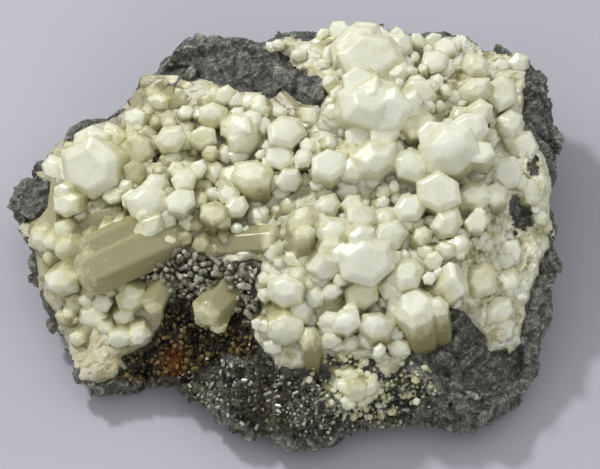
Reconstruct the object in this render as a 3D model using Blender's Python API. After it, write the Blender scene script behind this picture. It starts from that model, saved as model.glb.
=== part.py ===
"""A plumboan aragonite specimen: stubby six-sided cream crystals on a loose piece of dark rock.

Metres, +Z up. The origin is on the resting face, under the middle of the specimen. The crystal face is
described as it is seen square on, from FACE_ELEVATION above the horizon in front of the rock. A place on
it is (across, up) in millimetres from the line of sight through the origin.
"""

import math
import random
from collections import namedtuple

import bmesh
import bpy
from mathutils import Matrix, Vector, noise
from mathutils.bvhtree import BVHTree

MM = 0.001

# Driving dimensions, in degrees and millimetres
FACE_ELEVATION = 55.0
CRUST_THICKNESS = 2.6
GREY_DRUSE_THICKNESS = 2.6
RUSTY_DRUSE_THICKNESS = 1.1
FRONT_PATCH_THICKNESS = 1.5
FIT_GAP = 0.3

# The crystal face's own directions
TILT = math.radians(FACE_ELEVATION)
ACROSS = Vector((1, 0, 0))
UP = Vector((0, math.sin(TILT), math.cos(TILT)))
OUT = Vector((0, -math.cos(TILT), math.sin(TILT)))

# The rock's rim, counterclockwise from its right end: across, up, height above the resting face
RIM = [
    (68.5, 11.5, 17), (67.2, 17.2, 19), (68.2, 24.2, 20), (68.5, 33.0, 21), (67.8, 37.5, 20),
    (68.5, 44.2, 19), (67.0, 49.5, 18), (62.8, 52.2, 20), (59.2, 55.5, 22), (54.5, 56.0, 24),
    (49.8, 58.2, 25), (44.2, 59.0, 26), (37.8, 59.2, 27), (31.5, 59.8, 27), (25.2, 61.5, 27),
    (19.0, 62.5, 27), (12.8, 60.5, 27), (6.0, 59.0, 27), (-0.5, 60.0, 27), (-5.5, 59.0, 27),
    (-8.2, 57.5, 28), (-16.0, 58.2, 27), (-21.0, 58.8, 26), (-24.2, 57.5, 25), (-27.0, 54.5, 24),
    (-31.5, 53.0, 23), (-34.8, 52.8, 22), (-37.0, 49.2, 21), (-38.5, 44.8, 21), (-43.5, 41.8, 20),
    (-45.0, 38.5, 20), (-50.0, 36.2, 19), (-54.0, 33.8, 18), (-57.5, 34.0, 17), (-60.0, 30.5, 16),
    (-63.0, 25.0, 15), (-68.0, 19.2, 14), (-69.0, 14.8, 13), (-68.0, 8.5, 12), (-64.8, 5.0, 12),
    (-62.8, 0.0, 11), (-60.8, -7.0, 10), (-57.0, -11.8, 9), (-54.2, -17.0, 8), (-54.2, -21.0, 8),
    (-51.8, -26.5, 7.5), (-48.5, -30.0, 7), (-44.0, -29.5, 7), (-37.2, -27.2, 7.5), (-29.8, -27.5, 7.5),
    (-24.2, -29.0, 7), (-18.5, -32.8, 6.5), (-14.5, -36.2, 6), (-10.2, -40.5, 6), (-5.5, -40.5, 6),
    (-2.0, -42.0, 6), (6.5, -42.0, 6), (11.5, -43.5, 6), (15.8, -41.8, 6), (19.0, -38.2, 6.5),
    (25.2, -37.5, 6.5), (34.0, -38.5, 6), (42.0, -39.8, 6), (49.5, -37.5, 6), (56.5, -33.0, 7),
    (60.8, -27.5, 8), (63.8, -20.0, 10), (66.5, -11.5, 13), (66.0, -7.5, 14), (68.2, -3.2, 15),
    (67.5, 1.8, 16), (68.2, 8.0, 17),
]  # fmt: skip

# Heights that the rock's upper face passes through: across, up, height
SPOT_HEIGHTS = [
    (21.5, 45.5, 42), (41.5, 38, 39), (-13.5, 51.8, 35), (4, 53, 37), (-43.5, 25.5, 27), (-61, 18, 18),
    (-28.5, 18, 29), (-17, -4.5, 20), (-8.5, 5.5, 26), (11.5, 5.5, 32), (34, 5.5, 33), (14, -19.5, 23),
    (39, -17, 22), (-8.5, -27, 16), (-46, -12, 15), (-33.5, -22, 12), (59, 30.5, 31), (59, -2, 24),
    (54, -19.5, 16), (-27, 34, 31),
]  # fmt: skip

# The outlines of what has grown on the rock, as seen square on: across, up
ARAGONITE_OUTLINE = [
    (-60, 28.5), (-56, 33), (-49.5, 34.5), (-44.5, 37), (-41.5, 40), (-38.5, 43), (-36, 48), (-33, 49.5),
    (-21, 48), (-11, 46.5), (1.5, 43), (8.5, 40.5), (10.5, 44), (9.5, 48), (4, 52.5), (-1, 55.5),
    (-6.5, 58), (-7.5, 62), (-3, 66), (19, 74), (40, 70), (60, 62), (61.5, 50), (60.5, 40.5), (61.5, 33),
    (65.5, 30.5), (67.5, 26.5), (66.8, 17), (67.5, 10), (64, 2.5), (61.5, -2), (60, -9.5), (58.5, -17),
    (54, -20), (51, -19.5), (49.5, -16), (46.5, -12.5), (44.5, -10), (39, -8.2), (36.5, -11.5),
    (34, -16), (31.5, -19.5), (27.8, -25), (25.2, -25.6), (21.5, -21.8), (16.5, -21.2), (11.5, -20),
    (7, -20), (4, -22.5), (-2.2, -22.5), (-5.5, -18.2), (-8, -13.2), (-5.5, -7), (-7.2, -3.2),
    (-5.5, 2.5), (-11, 2.5), (-17.2, 3), (-22.2, 5.5), (-26, 6.8), (-29.8, 3.5), (-33.5, 2.5),
    (-36, -0.8), (-39, -5), (-34.8, -7), (-29.8, -7), (-30.2, -11.5), (-33.5, -18.2), (-37.2, -20),
    (-40.5, -21), (-39, -23.5), (-42.2, -25.8), (-47.2, -27), (-51, -26.5), (-53.5, -19.5), (-54.5, -15.8),
    (-58, -10.8), (-59.5, -7), (-61, -2), (-62.5, 4), (-66.5, 4.5), (-67.5, 9), (-64.8, 12.5), (-58.5, 13),
    (-57.2, 18), (-59, 21.8), (-62.2, 25.5),
]  # fmt: skip
GREY_DRUSE_OUTLINE = [
    (-35.4, -1), (-33, 1.9), (-29.6, 3), (-26, 6.2), (-22.2, 5), (-17.2, 2.5), (-11, 2), (-6, 2),
    (-7.7, -3.2), (-6, -7), (-8, -11.5), (-11, -10), (-15.5, -7), (-21, -6), (-27.2, -6.7), (-34.8, -6.5),
    (-38.5, -5),
]  # fmt: skip
RUSTY_DRUSE_OUTLINE = [
    (-29.3, -7.5), (-21, -7), (-15.5, -8), (-11.5, -11), (-8.3, -13.2), (-6, -18.2), (-8.5, -21.5),
    (-14.8, -19.5), (-21, -24), (-26, -26.5), (-31, -27), (-37.2, -26.5), (-41.5, -26.5), (-41.5, -25.8),
    (-38.5, -23.5), (-39.8, -21), (-36.8, -20), (-33.2, -18.7), (-29.7, -11.5),
]  # fmt: skip
FRONT_CLUSTER_OUTLINE = [
    (13, -23.5), (16.5, -22.7), (20.5, -23.8), (25.5, -27.5), (22.5, -31), (18, -34), (13.5, -34),
    (11.8, -29),
]  # fmt: skip

# A crystal's head is at (across, up). Its axis points towards heading, anticlockwise from across, and
# leans away from the line of sight. Spin turns its six sides about its axis. Millimetres and degrees.
Crystal = namedtuple("Crystal", "across up width length heading lean spin")

LEFT_END = [
    Crystal(-49, 25, 15, 12, 200, 20, 20), Crystal(-59, 26, 6.5, 7, 170, 35, 0),
    Crystal(-55.5, 16.5, 7, 9, 200, 35, 30), Crystal(-55.8, 10, 5, 8, 215, 40, 10),
    Crystal(-61, 6.5, 8, 9, 235, 45, 0), Crystal(-53.5, 3.5, 8, 11, 265, 55, 0),
    Crystal(-56.8, -4, 8.5, 9, 230, 35, 15), Crystal(-40, 14.8, 6, 14, 15, 75, 0),
    Crystal(-44, 8, 6.5, 8, 250, 30, 40), Crystal(-50.5, -1.2, 10.5, 19, 205, 72, 10),
    Crystal(-48, -12.2, 6.5, 6, 240, 30, 0), Crystal(-44.5, -14.5, 4, 6, 260, 30, 25),
    Crystal(-53.2, -11.8, 3.2, 4, 200, 30, 5), Crystal(-45.2, -8.2, 5, 6, 230, 25, 45),
    Crystal(-50, -7.5, 4, 5, 210, 25, 10),
]  # fmt: skip
LOWER_LEFT = [
    Crystal(-41, -17.2, 5.8, 8, 255, 30, 0), Crystal(-36, -16.8, 5.5, 7, 280, 30, 30),
    Crystal(-39.5, -12.2, 5, 7, 280, 25, 10), Crystal(-38.2, -7.8, 7, 8, 250, 25, 20),
    Crystal(-33, -10, 5.5, 9, 245, 50, 0),
]  # fmt: skip
UPPER_LEFT = [
    Crystal(-34, 17.2, 9.5, 9, 100, 12, 15), Crystal(-33.5, 9, 7.8, 10, 268, 38, 30),
    Crystal(-25.5, 18, 7.5, 9, 80, 20, 5), Crystal(-24.8, 23.8, 6.5, 8, 95, 15, 40),
    Crystal(-31.2, 22.2, 6, 7, 60, 20, 0), Crystal(-36.2, 25, 7, 7, 20, 35, 20),
    Crystal(-38.8, 21.2, 3.5, 5, 200, 20, 0), Crystal(-28.5, 7.2, 3.5, 5, 280, 20, 0),
    Crystal(-28.2, 33.2, 7.8, 9, 90, 8, 30), Crystal(-20.5, 34.2, 6.5, 8, 100, 15, 10),
    Crystal(-26, 43.8, 4, 8, 0, 70, 0), Crystal(-26.5, 47.2, 4.5, 10, 0, 70, 20),
    Crystal(-24.5, 40.5, 4, 6, 90, 20, 30), Crystal(-33.5, 40.2, 3.5, 6, 300, 30, 0),
    Crystal(-38.2, 35.8, 4.5, 6, 180, 25, 15), Crystal(-38.5, 39.2, 6, 7, 150, 30, 40),
    Crystal(-44, 35, 6, 9, 150, 30, 10), Crystal(-37, 30.5, 8, 7, 200, 15, 25),
    Crystal(-17.8, 40, 6.5, 8, 90, 15, 0),
]  # fmt: skip
MIDDLE_TOP = [
    Crystal(-9.5, 32.5, 9, 10, 300, 20, 10), Crystal(-13, 36.8, 8.5, 9, 150, 20, 35),
    Crystal(0.5, 36, 9, 9, 95, 15, 20), Crystal(-0.8, 29, 6.8, 9, 100, 12, 0),
    Crystal(4.8, 28.8, 5, 8.5, 85, 12, 30), Crystal(11.2, 27.5, 8.5, 10, 95, 22, 15),
    Crystal(16.2, 31.2, 6, 7, 80, 25, 0), Crystal(11.8, 39.2, 5, 7, 220, 25, 45),
    Crystal(7, 36.2, 3.5, 8, 315, 60, 0), Crystal(21.5, 30.2, 4.5, 6, 90, 15, 20),
    Crystal(24.8, 31, 5, 7, 75, 20, 0), Crystal(-11.8, 39.8, 4.5, 6, 90, 20, 25),
]  # fmt: skip
GREAT_CRYSTALS = [
    Crystal(21.5, 43.5, 16, 13, 90, 15, 10), Crystal(25.5, 38.5, 12, 12, 300, 15, 35),
    Crystal(16.5, 39.5, 11, 10, 200, 15, 0), Crystal(21.5, 54.5, 15, 11, 90, 20, 20),
    Crystal(26.5, 52.5, 9, 10, 320, 20, 45), Crystal(16, 56.5, 9, 8, 130, 30, 0),
    Crystal(19.5, 60.8, 9, 8, 90, 40, 15), Crystal(25.5, 60.2, 7, 7, 70, 40, 30),
    Crystal(40.8, 31.5, 13.5, 13, 100, 15, 25), Crystal(22.8, 26.8, 11.5, 11, 300, 15, 5),
]  # fmt: skip
CENTRE = [
    Crystal(-17.2, 15.2, 6.2, 9, 95, 20, 0), Crystal(-11.5, 16.5, 5.5, 8, 70, 15, 20),
    Crystal(-13.8, 20, 5, 7, 100, 20, 40), Crystal(-18.2, 19.8, 3.5, 6, 120, 20, 0),
    Crystal(-8.2, 25.5, 10.5, 10, 95, 30, 10), Crystal(1.5, 22.2, 6.3, 10, 270, 15, 30),
    Crystal(-1.2, 8, 6.5, 18, 5, 76, 0), Crystal(4.5, 14.8, 8.5, 13, 92, 40, 20),
    Crystal(11, 17, 6.5, 8, 60, 20, 5), Crystal(12.2, 11, 8.2, 11, 95, 15, 30),
    Crystal(17, 17.2, 5, 7, 80, 20, 15), Crystal(19.5, 14.2, 7, 7, 90, 15, 0),
    Crystal(25.2, 14.2, 7, 7, 90, 15, 25), Crystal(26, 9.2, 8, 7, 90, 15, 40),
    Crystal(20.8, 2.8, 12, 12, 320, 12, 0), Crystal(11.2, 0.5, 8.5, 9, 290, 25, 20),
    Crystal(1.5, 3, 3.8, 6, 200, 30, 0), Crystal(-0.2, -4, 8.3, 11, 120, 15, 10),
    Crystal(4, 0, 7, 7, 80, 20, 35), Crystal(6, 5.5, 7, 6, 90, 20, 0),
    Crystal(18.8, -6.2, 8, 7, 260, 25, 15), Crystal(27, -2.2, 7, 7, 90, 20, 30),
    Crystal(14.8, -11.5, 7.3, 10, 100, 12, 20), Crystal(10.2, -12.5, 4.5, 7, 180, 25, 0),
    Crystal(11.2, -17.2, 5, 6, 270, 25, 30), Crystal(22.5, -11.5, 8, 11, 95, 30, 10),
    Crystal(22, -16.8, 7.5, 7, 260, 20, 35), Crystal(0.2, -15.2, 8.8, 12, 268, 30, 0),
    Crystal(-5, -13.5, 4, 6, 240, 20, 20), Crystal(4.5, -9, 6, 8, 60, 20, 10),
    Crystal(6.2, -15, 6, 8, 95, 35, 0), Crystal(31.8, -7, 11, 12, 100, 35, 15),
    Crystal(30.2, 0.5, 8, 8, 90, 20, 40), Crystal(28, -19.5, 5, 5, 260, 25, 10),
]  # fmt: skip
RIGHT_SIDE = [
    Crystal(33.8, 38, 8.5, 9, 60, 25, 0), Crystal(33.5, 44.8, 8, 7, 90, 20, 20),
    Crystal(31.8, 51, 3.6, 5, 90, 20, 0), Crystal(38.2, 53.5, 7, 8, 80, 20, 35),
    Crystal(48.8, 52.8, 7, 7, 60, 20, 10), Crystal(55.2, 45.8, 8.5, 7, 40, 20, 25),
    Crystal(48.2, 45.8, 8, 6, 60, 15, 0), Crystal(48.8, 39.8, 7, 7, 60, 15, 40),
    Crystal(57.8, 37.5, 7.5, 7, 20, 30, 15), Crystal(44, 39.2, 6, 7, 90, 20, 30),
    Crystal(40.5, 57.5, 6, 6, 90, 40, 0), Crystal(30.2, 57.5, 7, 8, 30, 25, 20),
    Crystal(32.2, 27, 9, 8, 90, 15, 10), Crystal(38.2, 20.2, 9.5, 11, 90, 12, 0),
    Crystal(40.2, 11.2, 8, 10, 280, 12, 30), Crystal(46.8, 19.5, 8, 9, 90, 15, 20),
    Crystal(52.5, 19.5, 6, 8, 80, 20, 45), Crystal(47.8, 12.8, 5.5, 8, 60, 20, 0),
    Crystal(31, 16.5, 7.5, 9, 95, 15, 35), Crystal(34.5, 9.8, 5, 8, 60, 25, 10),
    Crystal(38.5, 5, 5.5, 9, 200, 20, 25), Crystal(44.2, 7.5, 5.5, 7, 40, 25, 0),
    Crystal(44, -0.8, 8, 12, 35, 65, 20), Crystal(49.2, -1.2, 8.5, 6, 30, 20, 15),
    Crystal(57.2, 5, 6.5, 4, 20, 25, 0), Crystal(63, 20, 6, 4, 20, 30, 30),
    Crystal(56.5, 24.8, 9, 5, 30, 20, 10), Crystal(61, 32.2, 8, 4, 20, 30, 40),
    Crystal(56.8, -3, 8, 4, 0, 20, 20), Crystal(54, -9.5, 8, 4, 340, 20, 0),
    Crystal(54.5, -14.5, 7, 3.5, 330, 20, 35),
]  # fmt: skip
HOLLOW_PAIR = [Crystal(-20.2, -11.5, 8, 11, 225, 50, 10), Crystal(-16.5, -14.2, 4, 7, 250, 40, 0)]
FRONT_CLUSTER = [
    Crystal(16, -25.8, 4, 4, 250, 15, 0), Crystal(18, -30, 7, 5, 270, 30, 20),
    Crystal(14, -28.2, 3.2, 3.5, 200, 30, 10), Crystal(14.6, -32, 3, 3, 240, 30, 0),
    Crystal(21.4, -28.8, 4.6, 4, 290, 25, 30),
]  # fmt: skip
ARAGONITE_CRYSTALS = (
    LEFT_END + LOWER_LEFT + UPPER_LEFT + MIDDLE_TOP + GREAT_CRYSTALS + CENTRE + RIGHT_SIDE
)

# How the rock is rounded and broken, in millimetres and shares
BALL_SUBDIVISIONS = 6
UPPER_FLATNESS = 4.0
RESTING_SHARE = 0.70
RESTING_SHARE_PER_RIM_MM = 0.006
UNDERSIDE_CURVE = 2.2
SPOT_REACH = 5.5
SPOT_FADE = 3.0
FACET_SIZE = 13.0
FACET_STEP = 1.6
FACET_TILT = 0.22
LUMP_SIZE = 9.0
LUMP_HEIGHT = 1.0
WORN_EDGES = 2
KEPT_SHARE_OF_ROCK = 0.062
REST_SNAP = 0.3

# How a crust lies on the rock
CRUST_LUMP_SIZE = 3.1
CRUST_LUMP_HEIGHT = 1.0
KEPT_SHARE_OF_CRUST = 0.4
SUNK_DEPTH = 1.0

# How a crystal is shaped
SIDES = 6
FULLNESS = 1.1
FLATTENING = 0.86
NARROWING = 0.94
SIDE_JITTER = 0.10
CHAMFER_SHARE = 0.26
LEAST_CHAMFERED_WIDTH = 6.1
POINT_SHARE = 0.6
ROOT = 4.0
MOST_ROOT_LEAN = 60.0
DEEPEST_ROOT_SHARE = 0.6
SEAT_DEPTH = 0.5

# The small crystals of a druse
GRAINS = 8
GRAIN_WIDTH = 2.8
GRAIN_LENGTH = 3.0
GRAIN_LEAN = 35.0

SIGHT_REACH = 150.0  # farther from the origin than any part of the specimen
RIM_SEARCH = (0.0, 1.5, 3.0, 5.0)  # how far down a crystal's seat is looked for, where it misses the rock


def plan_place(across, up, height):
    """Where a point seen at (across, up) lies, if it is that high above the resting face."""
    return Vector((across, (up - height * UP.z) / UP.y, height))


def upper_height(x, y, spots):
    """Height of the rock's upper face, eased between the spot heights by nearness."""
    total = weights = 0.0
    for spot in spots:
        weight = math.hypot(spot.x - x, spot.y - y, SPOT_REACH) ** -SPOT_FADE
        total += weight * spot.z
        weights += weight
    return total / weights


def rim_at(rim, bearings, azimuth):
    """The rim's place in a direction, between the rim points on either side of it."""
    turns = [(bearing - azimuth) % (2 * math.pi) for bearing in bearings]
    after, before = turns.index(min(turns)), turns.index(max(turns))
    left = 2 * math.pi - turns[before]
    return rim[before].lerp(rim[after], left / (left + turns[after]))


def rock_point(rim_place, share_up, spots):
    """A point of the rock above or below the rim. share_up runs from -1, underneath, to 1, on top."""
    reach = math.cos(share_up * math.pi / 2)
    x, y = rim_place.x * reach, rim_place.y * reach
    if share_up >= 0:
        swell = math.sqrt(max(0.0, 1.0 - reach**UPPER_FLATNESS))
        return Vector((x, y, rim_place.z + (upper_height(x, y, spots) - rim_place.z) * swell))
    resting = RESTING_SHARE + RESTING_SHARE_PER_RIM_MM * rim_place.z
    beyond = max(0.0, (reach - resting) / (1.0 - resting))
    return Vector((x, y, rim_place.z * beyond**UNDERSIDE_CURVE))


def rock_form():
    """The rock before it was broken: a ball with each point moved to where the rim and heights put it."""
    bm = bmesh.new()
    bmesh.ops.create_icosphere(bm, subdivisions=BALL_SUBDIVISIONS, radius=1.0)
    rim = [plan_place(*r) for r in RIM]
    bearings = [math.atan2(r.y, r.x) for r in rim]
    spots = [plan_place(*s) for s in SPOT_HEIGHTS]
    for vert in bm.verts:
        rim_place = rim_at(rim, bearings, math.atan2(vert.co.y, vert.co.x))
        share_up = math.asin(max(-1.0, min(1.0, vert.co.z))) / (math.pi / 2)
        vert.co = rock_point(rim_place, share_up, spots)
    return finished(bm, "rock")


def fracture(place, normal):
    """How far the break stands out at a place: flat facets, each tilted and stepped its own way."""
    facet = noise.voronoi(place / FACET_SIZE)[1][0] * FACET_SIZE
    tilt = noise.cell_vector(facet) * 2 - Vector((1, 1, 1))
    height = FACET_STEP * noise.noise(facet) + FACET_TILT * tilt.dot(place - facet)
    height += LUMP_HEIGHT * noise.noise(place / LUMP_SIZE)
    clear_of_rest = min(1.0, place.z / FACET_STEP)
    return normal * height * clear_of_rest


def finished(bm, name):
    """Turns millimetres into metres and the bmesh into a mesh."""
    bmesh.ops.recalc_face_normals(bm, faces=bm.faces)
    bmesh.ops.scale(bm, vec=(MM, MM, MM), verts=bm.verts)
    mesh = bpy.data.meshes.new(name)
    bm.to_mesh(mesh)
    bm.free()
    return mesh


def add_object(name, mesh, collection):
    obj = bpy.data.objects.new(name, mesh)
    collection.objects.link(obj)
    return obj


def evaluated_mesh(obj):
    """The object's mesh with its modifiers applied."""
    bpy.context.view_layer.update()
    graph = bpy.context.evaluated_depsgraph_get()
    return bpy.data.meshes.new_from_object(obj.evaluated_get(graph), depsgraph=graph)


def apply_modifiers(obj):
    mesh = evaluated_mesh(obj)
    obj.modifiers.clear()
    obj.data = mesh


def move_points(obj, move):
    """Moves each point by what the given function says for its place and normal, in millimetres."""
    bm = bmesh.new()
    bm.from_mesh(obj.data)
    bmesh.ops.triangulate(bm, faces=bm.faces)
    bm.normal_update()
    for vert, way in [(v, move(v.co / MM, v.normal)) for v in bm.verts]:
        vert.co += way * MM
    bm.to_mesh(obj.data)
    bm.free()


def thin_out(obj, share):
    """Fewer faces of the same form."""
    decimate = obj.modifiers.new("thin_out", "DECIMATE")
    decimate.ratio = share
    apply_modifiers(obj)


def break_rock(rock):
    """Breaks the rock's surface into facets, and lays it flat on its resting face."""
    move_points(rock, fracture)
    worn = rock.modifiers.new("worn_edges", "SMOOTH")
    worn.iterations = WORN_EDGES
    thin_out(rock, KEPT_SHARE_OF_ROCK)
    bm = bmesh.new()
    bm.from_mesh(rock.data)
    resting = [v for v in bm.verts if v.co.z < REST_SNAP * MM]
    for vert in resting:
        vert.co.z = 0.0
    bmesh.ops.dissolve_limit(bm, angle_limit=math.radians(0.5), verts=resting, edges=bm.edges)
    bm.to_mesh(rock.data)
    bm.free()


def grown_copy(obj, name, move, collection):
    """The object's form with its points moved."""
    grown = add_object(name, obj.data.copy(), collection)
    move_points(grown, move)
    return grown


def fit_gap(_, normal):
    """The room left between the rock and what has grown on it."""
    return normal * FIT_GAP


def outline_prism(name, outline, collection):
    """The outline as a block that runs along the line of sight, to cut a crust from a grown rock."""
    curve = bpy.data.curves.new(name, "CURVE")
    curve.dimensions = "2D"
    curve.fill_mode = "BOTH"
    curve.extrude = SIGHT_REACH * MM
    spline = curve.splines.new("POLY")
    spline.points.add(len(outline) - 1)
    for point, (across, up) in zip(spline.points, outline):
        point.co = (across * MM, up * MM, 0, 1)
    spline.use_cyclic_u = True
    guide = add_object(name, curve, collection)
    guide.matrix_world = Matrix((ACROSS, UP, OUT)).transposed().to_4x4()
    mesh = evaluated_mesh(guide)
    mesh.transform(guide.matrix_world)
    bpy.data.objects.remove(guide)
    bm = bmesh.new()
    bm.from_mesh(mesh)
    bmesh.ops.remove_doubles(bm, verts=bm.verts, dist=0.01 * MM)
    bmesh.ops.recalc_face_normals(bm, faces=bm.faces)
    bm.to_mesh(mesh)
    bm.free()
    return add_object(name, mesh, collection)


def axis_of(crystal):
    """The way a crystal points."""
    heading, lean = math.radians(crystal.heading), math.radians(crystal.lean)
    sideways = ACROSS * math.cos(heading) + UP * math.sin(heading)
    return (OUT * math.cos(lean) + sideways * math.sin(lean)).normalized()


def seat_of(crystal, rock_tree):
    """Where a crystal's axis leaves the rock, so that its head is seen at its own place."""
    heading = math.radians(crystal.heading)
    back = crystal.length * math.sin(math.radians(crystal.lean))
    across = crystal.across - back * math.cos(heading)
    up = crystal.up - back * math.sin(heading)
    for drop in RIM_SEARCH:
        start = ACROSS * across + UP * (up - drop) + OUT * SIGHT_REACH
        place, _, _, _ = rock_tree.ray_cast(start * MM, -OUT)
        if place is not None:
            return place / MM
    raise ValueError(f"{crystal} stands beside the rock")


def add_crystal(bm, crystal, rock_tree, grow=0.0):
    """A six-sided column from inside the rock to its head. A stout one is chamfered, a thin one tapers."""
    rng = random.Random(f"{crystal.across} {crystal.up}")
    radius = FULLNESS * crystal.width / 2 / math.cos(math.pi / SIDES) + grow
    axis = axis_of(crystal)
    seat = seat_of(crystal, rock_tree)
    root = ROOT + radius * math.tan(math.radians(min(crystal.lean, MOST_ROOT_LEAN)))
    under_seat = seat - OUT * SEAT_DEPTH
    _, _, _, rock_depth = rock_tree.ray_cast(under_seat * MM, -axis)
    if rock_depth is not None:
        root = min(root, DEEPEST_ROOT_SHARE * rock_depth / MM)
    depth = crystal.length + root + grow
    stout = crystal.width >= LEAST_CHAMFERED_WIDTH
    top_radius = radius * (NARROWING if stout else POINT_SHARE)
    made = bmesh.ops.create_cone(
        bm, cap_ends=True, segments=SIDES, radius1=radius, radius2=top_radius, depth=depth
    )
    stretch = [1 + rng.uniform(-SIDE_JITTER, SIDE_JITTER) for _ in range(SIDES)]
    for vert in made["verts"]:
        side = round(math.atan2(vert.co.y, vert.co.x) / (2 * math.pi) * SIDES) % SIDES
        vert.co.x *= stretch[side]
        vert.co.y *= stretch[side] * FLATTENING
    top = {v for v in made["verts"] if v.co.z > 0}
    top_edges = [e for e in bm.edges if stout and top.issuperset(e.verts)]
    others = set(bm.verts) - set(made["verts"])
    bmesh.ops.bevel(
        bm, geom=top_edges, offset=crystal.width * CHAMFER_SHARE, segments=1, affect="EDGES"
    )
    verts = [v for v in bm.verts if v not in others]
    middle = seat + axis * ((crystal.length + grow - root) / 2)
    turn = axis.to_track_quat("Z", "Y").to_matrix().to_4x4()
    spin = Matrix.Rotation(math.radians(crystal.spin), 4, "Z")
    bmesh.ops.transform(bm, matrix=Matrix.Translation(middle) @ turn @ spin, verts=verts)


def crystals_object(name, crystals, rock_tree, collection, grow=0.0):
    """Crystals in one object, each a closed column that passes through its neighbours."""
    bm = bmesh.new()
    for crystal in crystals:
        add_crystal(bm, crystal, rock_tree, grow)
    return add_object(name, finished(bm, name), collection)


def boolean(obj, operation, other):
    """Joins, cuts or crops obj with other, at once. Either may pass through itself."""
    modifier = obj.modifiers.new(operation.lower(), "BOOLEAN")
    modifier.operation = operation
    modifier.object = other
    modifier.use_self = True
    apply_modifiers(obj)


def drop_chips(obj):
    """Leaves the largest body of the mesh: cuts at the rim can leave loose chips."""
    bm = bmesh.new()
    bm.from_mesh(obj.data)
    bodies, seen = [], set()
    for first in bm.faces:
        if first in seen:
            continue
        body, waiting = [], [first]
        seen.add(first)
        while waiting:
            face = waiting.pop()
            body.append(face)
            for near in {f for edge in face.edges for f in edge.link_faces} - seen:
                seen.add(near)
                waiting.append(near)
        bodies.append(body)
    bodies.sort(key=len)
    chips = [face for body in bodies[:-1] for face in body]
    bmesh.ops.delete(bm, geom=chips, context="FACES")
    bm.to_mesh(obj.data)
    bm.free()


def inside(outline, across, up):
    """Whether a place lies inside an outline, counted from the sides that a line from it crosses."""
    crossed = False
    for (x1, y1), (x2, y2) in zip(outline, outline[1:] + outline[:1]):
        if (y1 > up) != (y2 > up) and across < x1 + (up - y1) * (x2 - x1) / (y2 - y1):
            crossed = not crossed
    return crossed


def grains_in(outline, count):
    """Small crystals strewn over an outline, none closer to another than its own width."""
    rng = random.Random(f"grains {outline[0]}")
    lefts, ups = [a for a, _ in outline], [u for _, u in outline]
    grains = []
    while len(grains) < count:
        across, up = rng.uniform(min(lefts), max(lefts)), rng.uniform(min(ups), max(ups))
        apart = all(math.hypot(g.across - across, g.up - up) > GRAIN_WIDTH for g in grains)
        if apart and inside(outline, across, up):
            lean = rng.uniform(0, GRAIN_LEAN)
            grain = Crystal(across, up, GRAIN_WIDTH, GRAIN_LENGTH, rng.uniform(0, 360), lean, 0)
            grains.append(grain)
    return grains


def crust_object(name, rock, outline, thickness, parts, helpers, grains=None):
    """A crust: the rock grown towards the viewer and cropped to the outline. The rock is cut out later."""

    def crust_height(place, normal):
        facing = max(0.0, min(1.0, normal.dot(OUT) * 2))
        height = thickness + CRUST_LUMP_HEIGHT * abs(noise.noise(place / CRUST_LUMP_SIZE))
        return OUT * facing * height - normal * SUNK_DEPTH * (1.0 - facing)

    crust = grown_copy(rock, name, crust_height, parts)
    thin_out(crust, KEPT_SHARE_OF_CRUST)
    if grains:
        boolean(crust, "UNION", grains)
    boolean(crust, "INTERSECT", outline_prism(name + "_outline", outline, helpers))
    return crust


def finish_colour(obj, colour, roughness, metallic=0.0):
    material = bpy.data.materials.new(obj.name)
    material.use_nodes = True
    shader = material.node_tree.nodes["Principled BSDF"]
    shader.inputs["Base Color"].default_value = (*colour, 1)
    shader.inputs["Roughness"].default_value = roughness
    shader.inputs["Metallic"].default_value = metallic
    obj.data.materials.clear()
    obj.data.materials.append(material)


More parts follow.
